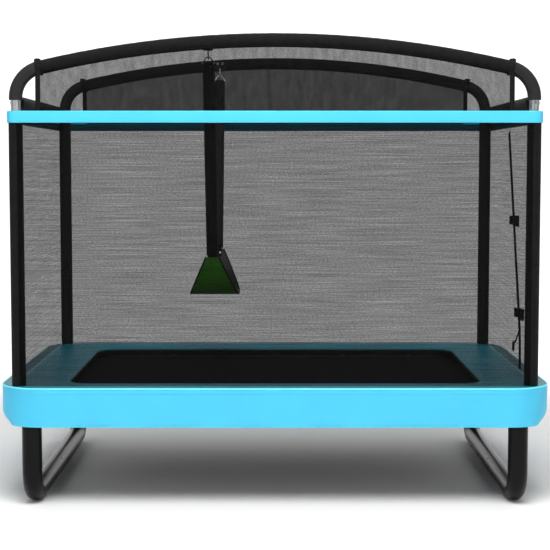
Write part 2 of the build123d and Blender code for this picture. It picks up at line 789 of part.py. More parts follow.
plate_face = POLE_Y - SLEEVE_R
with BuildPart() as hanger:
    with BuildSketch(Plane.XZ.offset(-plate_face)):
        with Locations((SWING_X, PLATE_Z)):
            RectangleRounded(PLATE_WIDTH, PLATE_HEIGHT, 6)
    extrude(amount=PLATE_THICK)
    with BuildLine():
        staple_root = plate_face - PLATE_THICK / 2
        left_root = (SWING_X - STAPLE_HALF, staple_root, HANG_Z)
        left_turn = (SWING_X - STAPLE_HALF, HANG_Y, HANG_Z)
        right_turn = (SWING_X + STAPLE_HALF, HANG_Y, HANG_Z)
        right_root = (SWING_X + STAPLE_HALF, staple_root, HANG_Z)
        FilletPolyline(left_root, left_turn, right_turn, right_root, radius=2 * STAPLE_R)
    with BuildSketch(Plane(origin=left_root, z_dir=(0, -1, 0))):
        Circle(STAPLE_R)
    sweep()
hanger_drilled = cut_for(hanger.part, plate_screws(), PLATE_THICK * 2)
with BuildPart() as swing_hangers:
    add(hanger_drilled)
    add(flipped(hanger_drilled, 1, -1))
save(swing_hangers.part, "swing_hangers")

hook_top = STAPLE_R + HOOK_WIRE_R + HOOK_GAP
upper_turn = hook_top - HOOK_HALF
lower_turn = hook_top - HOOK_LENGTH + HOOK_HALF
with BuildPart() as hook:
    with BuildLine(hook_plane):
        CenterArc((0, upper_turn), HOOK_HALF, 180, -180)
        Line((HOOK_HALF, upper_turn), (HOOK_HALF, lower_turn))
        CenterArc((0, lower_turn), HOOK_HALF, 0, -180)
    with BuildSketch(
        Plane(origin=hook_plane.from_local_coords((-HOOK_HALF, upper_turn, 0)), z_dir=hook_plane.y_dir)
    ):
        Circle(HOOK_WIRE_R)
    sweep()
with BuildPart() as swing_hooks:
    add(hook.part)
    add(flipped(hook.part, 1, -1))
save(swing_hooks.part, "swing_hooks")

gate_foot = Plane(
    origin=hook_plane.from_local_coords((-HOOK_HALF, -GATE_PIVOT, 0)), z_dir=hook_plane.y_dir
)
with BuildPart() as hook_gate:
    with Locations(gate_foot.location):
        Sphere(GATE_R)
    with BuildSketch(gate_foot):
        Circle(GATE_R)
    extrude(amount=GATE_PIVOT - GATE_TIP)
save(hook_gate.part, "hook_gate_back")
save(flipped(hook_gate.part, 1, -1), "hook_gate_front")

with BuildPart() as link:
    with BuildSketch(link_plane):
        Polygon(
            (-LINK_WIDTH / 2, -LINK_FOOT),
            (LINK_WIDTH / 2, -LINK_FOOT),
            (LINK_HEAD / 2, -LINK_TOP),
            (-LINK_HEAD / 2, -LINK_TOP),
            align=None,
        )
        offset(amount=-LINK_WIRE, mode=Mode.SUBTRACT)
    extrude(amount=LINK_WIRE / 2, both=True)
with BuildPart() as swing_links:
    add(link.part)
    add(flipped(link.part, 1, -1))
save(swing_links.part, "swing_links")

with BuildPart() as strap_sleeve:
    with BuildSketch(along_strap(STRAP_SLEEVE_TOP)):
        Circle(STRAP_SLEEVE_R)
        Circle(STRAP_SLEEVE_HOLE, mode=Mode.SUBTRACT)
    extrude(amount=STRAP_LENGTH - STRAP_SLEEVE_TOP - 8)
save(strap_sleeve.part, "swing_sleeve_back")
save(flipped(strap_sleeve.part, 1, -1), "swing_sleeve_front")

with BuildPart() as webbing:
    with BuildSketch(along_strap(STRAP_SLEEVE_TOP)):
        Rectangle(WEBBING_WIDTH, WEBBING_THICK)
    extrude(amount=STRAP_LENGTH - STRAP_SLEEVE_TOP - 2)
with BuildPart() as swing_webbing:
    add(webbing.part)
    add(flipped(webbing.part, 1, -1))
save(swing_webbing.part, "swing_webbing")

# The seat hangs as a belt: flat in the middle, then round to the line of each strap.
seat_turn = 90 - degrees(SWING_LEAN)
seat_drop = SEAT_END_Z - SEAT_LOW_Z - SEAT_THICK / 2
seat_bend_r = seat_drop / (1 - cos(radians(seat_turn)))
seat_flat = SEAT_END_Y - seat_bend_r * sin(radians(seat_turn))
with BuildPart() as swing_seat:
    with BuildSketch(Plane.YZ.offset(SWING_X - SEAT_WIDTH / 2)):
        with BuildLine():
            centre = (seat_flat, SEAT_LOW_Z + SEAT_THICK / 2 + seat_bend_r)
            under = CenterArc(centre, seat_bend_r + SEAT_THICK / 2, -90, seat_turn)
            over = CenterArc(centre, seat_bend_r - SEAT_THICK / 2, -90, seat_turn)
            Line((0, SEAT_LOW_Z), under @ 0)
            Line((0, SEAT_LOW_Z), (0, SEAT_LOW_Z + SEAT_THICK))
            Line((0, SEAT_LOW_Z + SEAT_THICK), over @ 0)
            Line(under @ 1, over @ 1)
        make_face()
    extrude(amount=SEAT_WIDTH)
    mirror(about=Plane.XZ)
    with BuildSketch(Plane.XZ):
        with Locations((SWING_X, 0)):
            Polygon(
                (-SEAT_WIDTH / 2, SEAT_LOW_Z - 1),
                (SEAT_WIDTH / 2, SEAT_LOW_Z - 1),
                (SEAT_WIDTH / 2, SEAT_LOW_Z + SEAT_THICK),
                (SEAT_END_WIDTH / 2, SEAT_END_Z + 2),
                (-SEAT_END_WIDTH / 2, SEAT_END_Z + 2),
                (-SEAT_WIDTH / 2, SEAT_LOW_Z + SEAT_THICK),
                align=None,
            )
    extrude(amount=SEAT_END_Y + 20, both=True, mode=Mode.INTERSECT)
save(swing_seat.part, "swing_seat")


# --- Door: zip tape, slider, pull, sewn straps and buckles, on the outside of the right net ---

NET_FACE = POLE_X + FOAM_R + NET_CLEAR + NET_THICK + 0.2
door_plane = Plane(origin=(NET_FACE, 0, 0), x_dir=(0, 1, 0), z_dir=(1, 0, 0))

with BuildPart() as zipper_tape:
    with BuildSketch(door_plane):
        with BuildLine():
            FilletPolyline(ZIP_TOP, ZIP_KNEE, ZIP_FOOT, radius=300)
        trace(line_width=ZIP_WIDTH)
    extrude(amount=ZIP_THICK)
save(zipper_tape.part, "zipper_tape")

zip_run = Vector(ZIP_TOP[0] - ZIP_KNEE[0], ZIP_TOP[1] - ZIP_KNEE[1], 0).normalized()
slider_at = Vector(ZIP_KNEE[0], ZIP_KNEE[1], 0) + zip_run * SLIDER_START
slider_plane = Plane(
    origin=(NET_FACE + ZIP_THICK + FIT, slider_at.X, slider_at.Y),
    x_dir=(0, zip_run.Y, -zip_run.X),
    z_dir=(1, 0, 0),
)
with BuildPart() as zipper_slider:
    with BuildSketch(slider_plane):
        Polygon((-4, -7), (4, -7), (6, 7), (-6, 7), align=None)
    extrude(amount=2)
    with BuildSketch(slider_plane.offset(2)):
        with GridLocations(7, 1, 2, 1):
            Rectangle(1.6, 5)
    extrude(amount=1.8)
save(zipper_slider.part, "zipper_slider")

with BuildPart() as zipper_pull:
    with BuildSketch(slider_plane.offset(2.6)):
        with Locations((0, -18)):
            SlotCenterToCenter(21, 7, rotation=90)
        with Locations((0, -3)):
            Rectangle(4.8, 7)
        with Locations((0, -26)):
            Circle(2.2, mode=Mode.SUBTRACT)
    extrude(amount=1.2)
save(zipper_pull.part, "zipper_pull")

with BuildPart() as door_straps:
    for strap_y, strap_z in BUCKLES.values():
        slope_start = strap_y - 56
        slope_end = strap_y - 39
        lift = BUCKLE_FOOT + BUCKLE_THICK / 2
        strap_plane = Plane.XY.offset(strap_z - DOOR_STRAP_HEIGHT / 2)
        with BuildSketch(strap_plane):
            with BuildLine():
                Polyline(
                    (NET_FACE, strap_y - DOOR_STRAP_REACH),
                    (NET_FACE, slope_start),
                    (NET_FACE + lift - ZIP_THICK, slope_end),
                    (NET_FACE + lift, slope_end),
                    (NET_FACE + ZIP_THICK, slope_start - 1),
                    (NET_FACE + ZIP_THICK, strap_y - DOOR_STRAP_REACH),
                    close=True,
                )
            make_face()
        extrude(amount=DOOR_STRAP_HEIGHT)
        with BuildSketch(strap_plane):
            with Locations((NET_FACE, strap_y + 30)):
                Rectangle(
                    ZIP_THICK, DOOR_STRAP_REACH - 30, align=(Align.MIN, Align.MIN)
                )
        extrude(amount=DOOR_STRAP_HEIGHT)
    with BuildSketch(door_plane):
        with BuildLine():
            ThreePointArc(*TIE_POINTS)
        trace(line_width=12)
    extrude(amount=ZIP_THICK)
    with BuildSketch(door_plane):
        with Locations((TIE_POINTS[-1][0] + 8, TIE_POINTS[-1][1] - 2)):
            RectangleRounded(26, 34, 8)
    extrude(amount=8)
save(door_straps.part, "door_straps")

with BuildPart() as buckle_sockets:
    for buckle_y, buckle_z in BUCKLES.values():
        base = door_plane.offset(BUCKLE_FOOT)
        with BuildSketch(base):
            with Locations((buckle_y + (SOCKET_BACK + SOCKET_MOUTH) / 2, buckle_z)):
                RectangleRounded(SOCKET_MOUTH - SOCKET_BACK, BUCKLE_HEIGHT, 4)
        extrude(amount=BUCKLE_THICK)
        with BuildSketch(base.offset(1.8)):
            with Locations((buckle_y + SOCKET_MOUTH, buckle_z)):
                Rectangle(2 * (PRONG + 3), BUCKLE_HEIGHT - 8)
        extrude(amount=BUCKLE_THICK - 3.6, mode=Mode.SUBTRACT)
        with BuildSketch(base):
            with Locations((buckle_y + SOCKET_BACK + 6, buckle_z)):
                Rectangle(SLOT, BUCKLE_HEIGHT - 6)
        extrude(amount=BUCKLE_THICK, mode=Mode.SUBTRACT)
save(buckle_sockets.part, "buckle_sockets")

for level, (buckle_y, buckle_z) in BUCKLES.items():
    base = door_plane.offset(BUCKLE_FOOT)
    root = buckle_y + SOCKET_MOUTH + 0.5
    with BuildPart() as plug:
        with BuildSketch(base):
            with Locations((root + PLUG_BASE / 2, buckle_z)):
                RectangleRounded(PLUG_BASE, BUCKLE_HEIGHT - 2, 4)
            with Locations((root + PLUG_BASE - 8, buckle_z)):
                Rectangle(SLOT, BUCKLE_HEIGHT - 8, mode=Mode.SUBTRACT)
        extrude(amount=BUCKLE_THICK)
        with BuildSketch(base.offset(2.3)):
            for height, width in ((-13, 6), (0, 4), (13, 6)):
                with Locations((root - PRONG + 1, buckle_z + height)):
                    Rectangle(PRONG, width, align=(Align.MIN, Align.CENTER))
        extrude(amount=BUCKLE_THICK - 4.6)
    save(plug.part, f"buckle_plug_{level}")
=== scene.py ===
import json
import math
import random

import bpy
from mathutils import Matrix, Vector


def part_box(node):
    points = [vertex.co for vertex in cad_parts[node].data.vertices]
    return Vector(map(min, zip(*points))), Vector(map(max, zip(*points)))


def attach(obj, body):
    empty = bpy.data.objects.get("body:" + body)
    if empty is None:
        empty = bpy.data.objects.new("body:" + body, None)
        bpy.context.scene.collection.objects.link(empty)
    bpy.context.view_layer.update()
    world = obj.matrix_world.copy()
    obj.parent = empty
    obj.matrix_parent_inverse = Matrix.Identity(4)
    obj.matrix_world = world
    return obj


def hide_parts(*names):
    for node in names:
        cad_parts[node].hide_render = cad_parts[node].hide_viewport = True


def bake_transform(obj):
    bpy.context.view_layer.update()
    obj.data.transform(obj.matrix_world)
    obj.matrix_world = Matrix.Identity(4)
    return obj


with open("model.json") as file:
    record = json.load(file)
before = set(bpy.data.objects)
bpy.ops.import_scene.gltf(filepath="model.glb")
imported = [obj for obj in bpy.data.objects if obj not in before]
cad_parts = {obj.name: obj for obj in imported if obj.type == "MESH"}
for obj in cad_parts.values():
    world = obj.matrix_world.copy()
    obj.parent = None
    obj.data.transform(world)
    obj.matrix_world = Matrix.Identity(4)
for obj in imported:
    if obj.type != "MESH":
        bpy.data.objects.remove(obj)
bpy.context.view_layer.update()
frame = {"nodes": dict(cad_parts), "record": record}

bl_info = {
    "name": "Netted trampoline with belt swing",
    "version": (1, 0, 0),
    "blender": (4, 5, 0),
    "location": "3D View > Sidebar > Trampoline",
    "description": "Dresses the packed trampoline in its cloth, foam, webbing and finishes",
    "category": "Object",
}

MM = 0.001
ARCH_BEND_R = 3.4932
UP = Vector((0, 0, 1))
ACROSS_BED = Vector((1, 0, 0))

# Repeats of the net's rows per metre, along and up the cloth, drawn coarse enough to show
LOWER_NET_ROWS = (3.5, 245)
UPPER_NET_ROWS = (46, 24)
LOWER_NET_SPECKS = (140, 300)
UPPER_NET_SPECKS = (150, 300)
SIDES = ((-1, -1), (1, -1), (-1, 1), (1, 1))

# Places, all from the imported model
pad_low, pad_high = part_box("safety_pad")
mat_low, mat_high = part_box("jump_mat")
band_low, band_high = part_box("top_band")
net_low, net_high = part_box("net_front")
sleeve_low, sleeve_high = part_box("arch_sleeve_back")
foam_low, foam_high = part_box("pole_foams")
bar_low, bar_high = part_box("side_bar_foams")
pole_low, pole_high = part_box("pole_back_right")
hem_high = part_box("net_hems")[1]
seat_low, seat_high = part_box("swing_seat")
tape_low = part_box("zipper_tape")[0]
mounts = {m["name"]: m for m in frame["record"]["mounts"]}
hang_point = Vector(mounts["seat_hang_back"]["pos_m"])
pole_at = (pole_low + pole_high) / 2
foam_r = foam_high.x - pole_at.x
net_turn = -net_low.y - pole_at.y - 0.5 * MM
arch_y = (sleeve_low.y + sleeve_high.y) / 2
sleeve_r = (sleeve_high.y - sleeve_low.y) / 2


# --- Colours and materials ---


def linear(code):
    """A colour given as sRGB hex, in the linear light that shaders use."""
    shares = [int(code[i:i + 2], 16) / 255 for i in (1, 3, 5)]
    return [s / 12.92 if s <= 0.04045 else ((s + 0.055) / 1.055) ** 2.4 for s in shares] + [1.0]


def shade(colour, share):
    """A linear colour darkened to that share of its light."""
    return [c * share for c in colour[:3]] + [1.0]


def add_node(material, kind, settings=None, feeds=None, **links):
    """The outputs of a new node with its settings, its inputs set to values or linked to sockets.
    stops are a ramp's (place, colour) pairs, and feeds is the socket that the first output goes to."""
    tree = material.node_tree
    made = tree.nodes.new(kind)
    for name, value in (settings or {}).items():
        if name != "stops":
            setattr(made, name, value)
            continue
        for element, (place, colour) in zip(made.color_ramp.elements, value):
            element.position = place
            element.color = linear(colour) if isinstance(colour, str) else colour
    for name, value in links.items():
        socket = made.inputs[int(name[1:]) if name[1:].isdigit() else name.replace("_", " ")]
        if isinstance(value, bpy.types.NodeSocket):
            tree.links.new(value, socket)
        else:
            socket.default_value = value
    if feeds:
        tree.links.new(made.outputs[0], feeds)
    return made.outputs


def start_material(name, follows, **sockets):
    """A new material, its shader's inputs with those set, and the coordinates its patterns follow."""
    material = bpy.data.materials.new(name)
    material.use_nodes = True
    shader = material.node_tree.nodes["Principled BSDF"].inputs
    for socket, value in sockets.items():
        shader[socket.replace("_", " ")].default_value = value
    return material, shader, add_node(material, "ShaderNodeTexCoord")[follows]


def zoned_colour(material, zone, tone, lit, dim):
    """A colour that clouds between two tones, one pair where the zone is 0 and the other where it is 1."""
    pair = [add_node(material, "ShaderNodeValToRGB", {"stops": stops}, Fac=tone)[0] for stops in (lit, dim)]
    return add_node(material, "ShaderNodeMix", {"data_type": "RGBA"}, i0=zone, i6=pair[0], i7=pair[1])[2]


# Coated polyester: a woven base under a glossy skin, so soft highlights over faint threads
def coated_polyester(name, outer, shaded):
    """Skirt, pad and band cloth: outer where the zone is 0, shaded at 1 as painted shade, and the black
    lining at 2.
    """
    material, shader, place = start_material(
        name, "Object", Roughness=0.42, Specular_IOR_Level=0.22, Coat_Weight=0.04, Coat_Roughness=0.3
    )
    zone = add_node(material, "ShaderNodeAttribute", {"attribute_name": "shaded"})["Fac"]
    cloud = add_node(material, "ShaderNodeTexNoise", Vector=place, Scale=6.0, Detail=3.0)[0]
    cloth = zoned_colour(
        material, zone, cloud, ((0.3, shade(outer, 0.94)), (0.7, outer)), (
            (0.3, shade(shaded, 0.86)), (0.7, shaded)
        )
    )
    inside = add_node(
        material, "ShaderNodeMath", {"operation": "SUBTRACT", "use_clamp": True}, i0=zone, i1=1.0
    )[0]
    lined = add_node(
        material, "ShaderNodeMix", {"data_type": "RGBA"}, i0=inside, i6=cloth, i7=linear("#0C0D0E")
    )[2]
    material.node_tree.links.new(lined, shader["Base Color"])
    # Threads of about 2 mm, coarser than real so that they show
    threads = add_node(
        material, "ShaderNodeTexVoronoi", {"distance": "CHEBYCHEV"}, Vector=place, Scale=520.0, Randomness=0.1
    )[0]
    long_way = add_node(material, "ShaderNodeMapping", Vector=place, Scale=(14, 14, 30))[0]
    creases = add_node(material, "ShaderNodeTexNoise", Vector=long_way, Scale=1.0, Detail=5.0)[0]
    height = add_node(
        material, "ShaderNodeMath", {"operation": "MULTIPLY_ADD"}, i0=creases, i1=6.0, i2=threads
    )[0]
    add_node(
        material, "ShaderNodeBump", feeds=shader["Normal"], Height=height, Strength=0.35, Distance=0.0006
    )
    return material


# Knitted polyethylene mesh: holes too fine to show one by one, so a veil that varies as its rows do
def knitted_net(name, cover, light, rows_per_metre, specks_per_metre):
    """A net whose cover runs between two shares in level rows, with specks where stitches bunch."""
    material, shader, place = start_material(name, "UV", Roughness=0.95, Specular_IOR_Level=0.08)
    level = add_node(material, "ShaderNodeMapping", Vector=place, Scale=(*rows_per_metre, 1))[0]
    rows = add_node(material, "ShaderNodeTexNoise", Vector=level, Scale=1.0, Detail=2.0, Roughness=0.55)[0]
    fine = add_node(material, "ShaderNodeMapping", Vector=place, Scale=(*specks_per_metre, 1))[0]
    specks = add_node(material, "ShaderNodeTexNoise", Vector=fine, Scale=1.0, Detail=1.0)[0]
    both = add_node(material, "ShaderNodeMath", {"operation": "MULTIPLY_ADD"}, i0=specks, i1=0.9, i2=rows)[0]
    add_node(
        material, "ShaderNodeMapRange", feeds=shader["Alpha"], Value=both, i1=0.68, i2=1.22, i3=cover[0],
        i4=cover[1],
    )
    add_node(
        material, "ShaderNodeValToRGB", {"stops": ((0.35, "#040404"), (0.65, light))}, shader["Base Color"],
        Fac=rows,
    )
    material.surface_render_method = "BLENDED"
    return material


# Woven polypropylene: matt flat tapes over and under, a 3 mm basket that barely shines
def woven_mat():
    material, shader, place = start_material(
        "woven_polypropylene", "Object", Roughness=0.9, Specular_IOR_Level=0.06
    )
    squares = add_node(material, "ShaderNodeMapping", Vector=place, Scale=(330, 330, 1))[0]
    basket = add_node(
        material, "ShaderNodeTexVoronoi", {"distance": "CHEBYCHEV"}, Vector=squares, Scale=1.0, Randomness=0.0
    )[0]
    broad = add_node(material, "ShaderNodeMapping", Vector=place, Scale=(5, 7, 1))[0]
    wear = add_node(material, "ShaderNodeTexNoise", Vector=broad, Scale=1.0, Detail=5.0)[0]
    stops = ((0.3, "#050606"), (0.7, "#0B0C0C"))
    add_node(material, "ShaderNodeValToRGB", {"stops": stops}, shader["Base Color"], Fac=wear)
    add_node(material, "ShaderNodeBump", feeds=shader["Normal"], Height=basket, Strength=0.5, Distance=0.0008)
    return material


# Woven polyester webbing: ribs across the strap, a little sheen on their crowns
def webbing_weave():
    material, shader, place = start_material(
        "polyester_webbing_black", "UV", Roughness=0.8, Specular_IOR_Level=0.15, Sheen_Weight=0.04,
        Sheen_Roughness=0.5,
    )
    even = add_node(material, "ShaderNodeMapping", Vector=place, Scale=(200, 200, 1))[0]
    ribs = add_node(
        material, "ShaderNodeTexWave", {"bands_direction": "Y"}, Vector=even, Scale=1.0, Distortion=1.2,
        Detail=1.0,
    )[1]
    stops = ((0.1, "#060606"), (0.9, "#121213"))
    add_node(material, "ShaderNodeValToRGB", {"stops": stops}, shader["Base Color"], Fac=ribs)
    add_node(material, "ShaderNodeBump", feeds=shader["Normal"], Height=ribs, Strength=0.6, Distance=0.0006)
    return material


# Closed-cell foam with a skin: dull black with a fine pebble and long soft rubs
def closed_cell_foam():
    material, shader, place = start_material("foam_sleeve", "Object", Roughness=0.8, Specular_IOR_Level=0.2)
    pebble = add_node(material, "ShaderNodeTexNoise", Vector=place, Scale=420.0, Detail=2.0)[0]
    long_way = add_node(material, "ShaderNodeMapping", Vector=place, Scale=(22, 22, 7))[0]
    rubs = add_node(material, "ShaderNodeTexNoise", Vector=long_way, Scale=1.0, Detail=4.0)[0]
    stops = ((0.3, "#101011"), (0.72, "#19191A"))
    add_node(material, "ShaderNodeValToRGB", {"stops": stops}, shader["Base Color"], Fac=rubs)
    height = add_node(
        material, "ShaderNodeMath", {"operation": "MULTIPLY_ADD"}, i0=rubs, i1=3.0, i2=pebble
    )[0]
    add_node(
        material, "ShaderNodeBump", feeds=shader["Normal"], Height=height, Strength=0.18, Distance=0.0005
    )
    return material


# Woven polyester sleeve: a fine twill that runs along the tube, with slack folds across it
def sewn_cover():
    material, shader, place = start_material(
        "polyester_sleeve", "UV", Roughness=0.85, Specular_IOR_Level=0.15, Sheen_Weight=0.03,
        Sheen_Roughness=0.5,
    )
    even = add_node(material, "ShaderNodeMapping", Vector=place, Scale=(420, 420, 1))[0]
    twill = add_node(
        material, "ShaderNodeTexWave", {"bands_direction": "DIAGONAL"}, Vector=even, Scale=1.0, Distortion=0.6
    )[1]
    slack = add_node(material, "ShaderNodeMapping", Vector=place, Scale=(16, 42, 1))[0]
    folds = add_node(material, "ShaderNodeTexNoise", Vector=slack, Scale=1.0, Detail=4.0)[0]
    stops = ((0.3, "#0B0B0B"), (0.72, "#161617"))
    add_node(material, "ShaderNodeValToRGB", {"stops": stops}, shader["Base Color"], Fac=folds)
    height = add_node(
        material, "ShaderNodeMath", {"operation": "MULTIPLY_ADD"}, i0=folds, i1=5.0, i2=twill
    )[0]
    add_node(
        material, "ShaderNodeBump", feeds=shader["Normal"], Height=height, Strength=0.45, Distance=0.0007
    )
    return material


# Powder-coated steel: an even paint with the faint orange peel of melted powder
def powder_coat(name, dark, light, roughness, coat):
    material, shader, place = start_material(
        name, "Object", Roughness=roughness, Specular_IOR_Level=0.13, Coat_Weight=coat, Coat_Roughness=0.12
    )
    peel = add_node(material, "ShaderNodeTexNoise", Vector=place, Scale=260.0, Detail=1.0)[0]
    tone = add_node(material, "ShaderNodeTexNoise", Vector=place, Scale=9.0, Detail=3.0)[0]
    stops = ((0.3, dark), (0.7, light))
    add_node(material, "ShaderNodeValToRGB", {"stops": stops}, shader["Base Color"], Fac=tone)
    add_node(material, "ShaderNodeBump", feeds=shader["Normal"], Height=peel, Strength=0.12, Distance=0.0004)
    return material


# Zinc-plated steel: bright cool metal, clouded by the plating and drawn along the wire
def zinc_plate():
    material, shader, place = start_material("zinc_plated_steel", "Object", Metallic=1.0, Roughness=0.28)
    drawn = add_node(material, "ShaderNodeMapping", Vector=place, Scale=(70, 70, 18))[0]
    cloud = add_node(material, "ShaderNodeTexNoise", Vector=drawn, Scale=1.0, Detail=5.0)[0]
    stops = ((0.25, "#8C8E90"), (0.6, "#D4D6D8"))
    add_node(material, "ShaderNodeValToRGB", {"stops": stops}, shader["Base Color"], Fac=cloud)
    add_node(
        material, "ShaderNodeMapRange", feeds=shader["Roughness"], Value=cloud, i1=0.2, i2=0.8, i3=0.196,
        i4=0.392,
    )
    add_node(material, "ShaderNodeBump", feeds=shader["Normal"], Height=cloud, Strength=0.1, Distance=0.0003)
    return material


# Injection-moulded plastic with a spark-etched skin: fine grain in even colour
def moulded_plastic(name, lit, dim, roughness, grain):
    """Moulded plastic whose tone runs between the pair lit, or the pair dim painted on its shaded side as
    painted shade.
    """
    material, shader, place = start_material(name, "Object", Roughness=roughness, Specular_IOR_Level=0.2)
    etch = add_node(material, "ShaderNodeTexNoise", Vector=place, Scale=grain, Detail=2.0)[0]
    zone = add_node(material, "ShaderNodeAttribute", {"attribute_name": "shaded"})["Fac"]
    tone = add_node(material, "ShaderNodeTexNoise", Vector=place, Scale=11.0, Detail=2.0)[0]
    mixed = zoned_colour(material, zone, tone, *(((0.3, pair[0]), (0.7, pair[1])) for pair in (lit, dim)))
    material.node_tree.links.new(mixed, shader["Base Color"])
    add_node(material, "ShaderNodeBump", feeds=shader["Normal"], Height=etch, Strength=0.2, Distance=0.0004)
    return material


# Bonded polyester thread: smooth, twisted and a shade off its cloth
def thread(name, code):
    material, shader, place = start_material(name, "Object", Roughness=0.5)
    twist = add_node(material, "ShaderNodeTexNoise", Vector=place, Scale=900.0)[0]
    stops = ((0.3, code), (0.8, code))
    add_node(material, "ShaderNodeValToRGB", {"stops": stops}, shader["Base Color"], Fac=twist)
    add_node(material, "ShaderNodeBump", feeds=shader["Normal"], Height=twist, Strength=0.3, Distance=0.0003)
    return material


look = {}


def mix_materials(settings):
    """Every finish of the object, made once."""
    # The welt's pale blue is a painted highlight.
    piping, green = linear("#78F2FF"), settings.seat_green
    look["vinyl"] = coated_polyester("coated_polyester_blue", settings.cloth_blue, settings.pad_painted_shade)
    look["piping"] = coated_polyester("coated_polyester_piping", piping, piping)
    look["net"] = knitted_net("knitted_net_lower", (0.46, 0.74), "#0E0E0E", LOWER_NET_ROWS, LOWER_NET_SPECKS)
    look["upper_net"] = knitted_net(
        "knitted_net_upper", (0.77, 0.875), "#0C0C0C", UPPER_NET_ROWS, UPPER_NET_SPECKS
    )
    look["mat"] = woven_mat()
    look["webbing"] = webbing_weave()
    look["foam"] = closed_cell_foam()
    look["cover"] = sewn_cover()
    look["legs"] = powder_coat("powder_coat_gloss_black", "#060607", "#0B0B0C", 0.3, 0.03)
    look["frame"] = powder_coat("powder_coat_satin_black", "#0A0A0B", "#101012", 0.42, 0.05)
    look["corner"] = powder_coat("powder_coat_corner_black", "#202021", "#29292B", 0.5, 0.1)
    look["zinc"] = zinc_plate()
    # The seat's dim pair is painted shade on the belt's inner face.
    look["seat"] = moulded_plastic(
        "soft_moulded_belt", (shade(green, 0.8), green), ("#0B1207", "#0F180A"), 0.48, 500
    )
    look["rim"] = moulded_plastic("belt_edge", ("#080C05", "#0C1208"), ("#060904", "#0A0E07"), 0.6, 500)
    look["acetal"] = moulded_plastic("acetal_black", ("#0D0D0E", "#151516"), ("#0D0D0E", "#151516"), 0.4, 900)
    look["blue_thread"] = thread("thread_blue", "#2FA6C8")
    look["black_thread"] = thread("thread_grey", "#3A3A3B")


# --- Shaping ---


def new_mesh(name, points, faces, uvs=None, shaded=None):
    """A mesh object from points and faces, with its pattern coordinates in metres."""
    mesh = bpy.data.meshes.new(name)
    mesh.from_pydata([tuple(p) for p in points], [], faces)
    if uvs:
        layer = mesh.uv_layers.new(name="cloth")
        for loop in mesh.loops:
            layer.data[loop.index].uv = uvs[loop.vertex_index]
    if shaded:
        zone = mesh.attributes.new("shaded", "FLOAT", "POINT")
        zone.data.foreach_set("value", shaded)
    made = bpy.data.objects.new(name, mesh)
    bpy.context.collection.objects.link(made)
    return made


def loft(name, rings, ring_closed=True, rows_closed=False, capped=False, shaded=None):
    """A skin over rings of equal count. shaded gives one zone value for each ring."""
    count = len(rings[0])
    points = [p for ring in rings for p in ring]
    faces = []
    rows = len(rings) if rows_closed else len(rings) - 1
    columns = count if ring_closed else count - 1
    for i in range(rows):
        here, there = i * count, (i + 1) % len(rings) * count
        for j in range(columns):
            k = (j + 1) % count
            faces.append((here + j, here + k, there + k, there + j))
    if capped:
        faces.append(tuple(reversed(range(count))))
        faces.append(tuple(range((len(rings) - 1) * count, len(rings) * count)))
    uvs = []
    along = 0.0
    for i, ring in enumerate(rings):
        if i:
            along += (Vector(ring[0]) - Vector(rings[i - 1][0])).length
        across = 0.0
        for j, point in enumerate(ring):
            if j:
                across += (Vector(point) - Vector(ring[j - 1])).length
            uvs.append((across, along))
    values = [v for v in shaded for _ in range(count)] if shaded else None
    return new_mesh(name, points, faces, uvs, values)


def turned_frames(path):
    """The path's direction and two vectors square to it at each point, with no twist."""
    steps = []
    for i in range(len(path)):
        ahead = path[min(i + 1, len(path) - 1)] - path[max(i - 1, 0)]
        steps.append(ahead.normalized())
    side = steps[0].orthogonal().normalized()
    frames = []
    for step in steps:
        side = (side - step * side.dot(step)).normalized()
        frames.append((step, side, step.cross(side)))
    return frames


def tube(name, path, radius, sides=16, capped=True, side=None):
    """A round tube along a path. radius is a number, or a function of (index, angle)."""
    path = [Vector(p) for p in path]
    rings = []
    for i, (point, (step, first, second)) in enumerate(zip(path, turned_frames(path))):
        if side is not None:
            first = (side - step * side.dot(step)).normalized()
            second = step.cross(first)
        ring = []
        for j in range(sides):
            angle = math.tau * j / sides
            r = radius(i, angle) if callable(radius) else radius
            ring.append(point + first * math.cos(angle) * r + second * math.sin(angle) * r)
        rings.append(ring)
    return loft(name, rings, capped=capped)


def strap(name, path, across, width, thick, edge=0.4 * MM):
    """Flat webbing along a path. across is its width's direction, one vector or one for each point."""
    path = [Vector(p) for p in path]
    rings = []
    for i, point in enumerate(path):
        step = (path[min(i + 1, len(path) - 1)] - path[max(i - 1, 0)]).normalized()
        wide = across[i] if isinstance(across, list) else across
        wide = (wide - step * wide.dot(step)).normalized()
        out = step.cross(wide)
        w = width[i] if isinstance(width, list) else width
        half, up = w / 2, thick / 2
        section = (
            (-half, -up + edge), (-half + edge, -up), (0, -up), (half - edge, -up), (half, -up + edge),
            (half, up - edge), (half - edge, up), (0, up), (-half + edge, up), (-half, up - edge),
        )
        rings.append([point + wide * a + out * b for a, b in section])
    return loft(name, rings, capped=True)


def outline(half_x, half_y, r, per_corner=12, per_long=48, per_short=32):
    """A rounded rectangle's points in plan, anticlockwise from its right side."""
    r = max(r, 1e-4)
    points = []
    for quarter, count in ((0, per_long), (1, per_short), (2, per_long), (3, per_short)):
        cx = (half_x - r) * (1 if quarter in (0, 3) else -1)
        cy = (half_y - r) * (1 if quarter in (0, 1) else -1)
        for k in range(per_corner + 1):
            a = math.radians(90 * quarter + 90 * k / per_corner)
            points.append((cx + r * math.cos(a), cy + r * math.sin(a)))
        nx = (half_x - r) * (1 if (quarter + 1) % 4 in (0, 3) else -1)
        ny = (half_y - r) * (1 if (quarter + 1) % 4 in (0, 1) else -1)
        a = math.radians(90 * (quarter + 1))
        start = points[-1]
        end = (nx + r * math.cos(a), ny + r * math.sin(a))
        for k in range(1, count):
            s = k / count
            points.append((start[0] * (1 - s) + end[0] * s, start[1] * (1 - s) + end[1] * s))
    return points


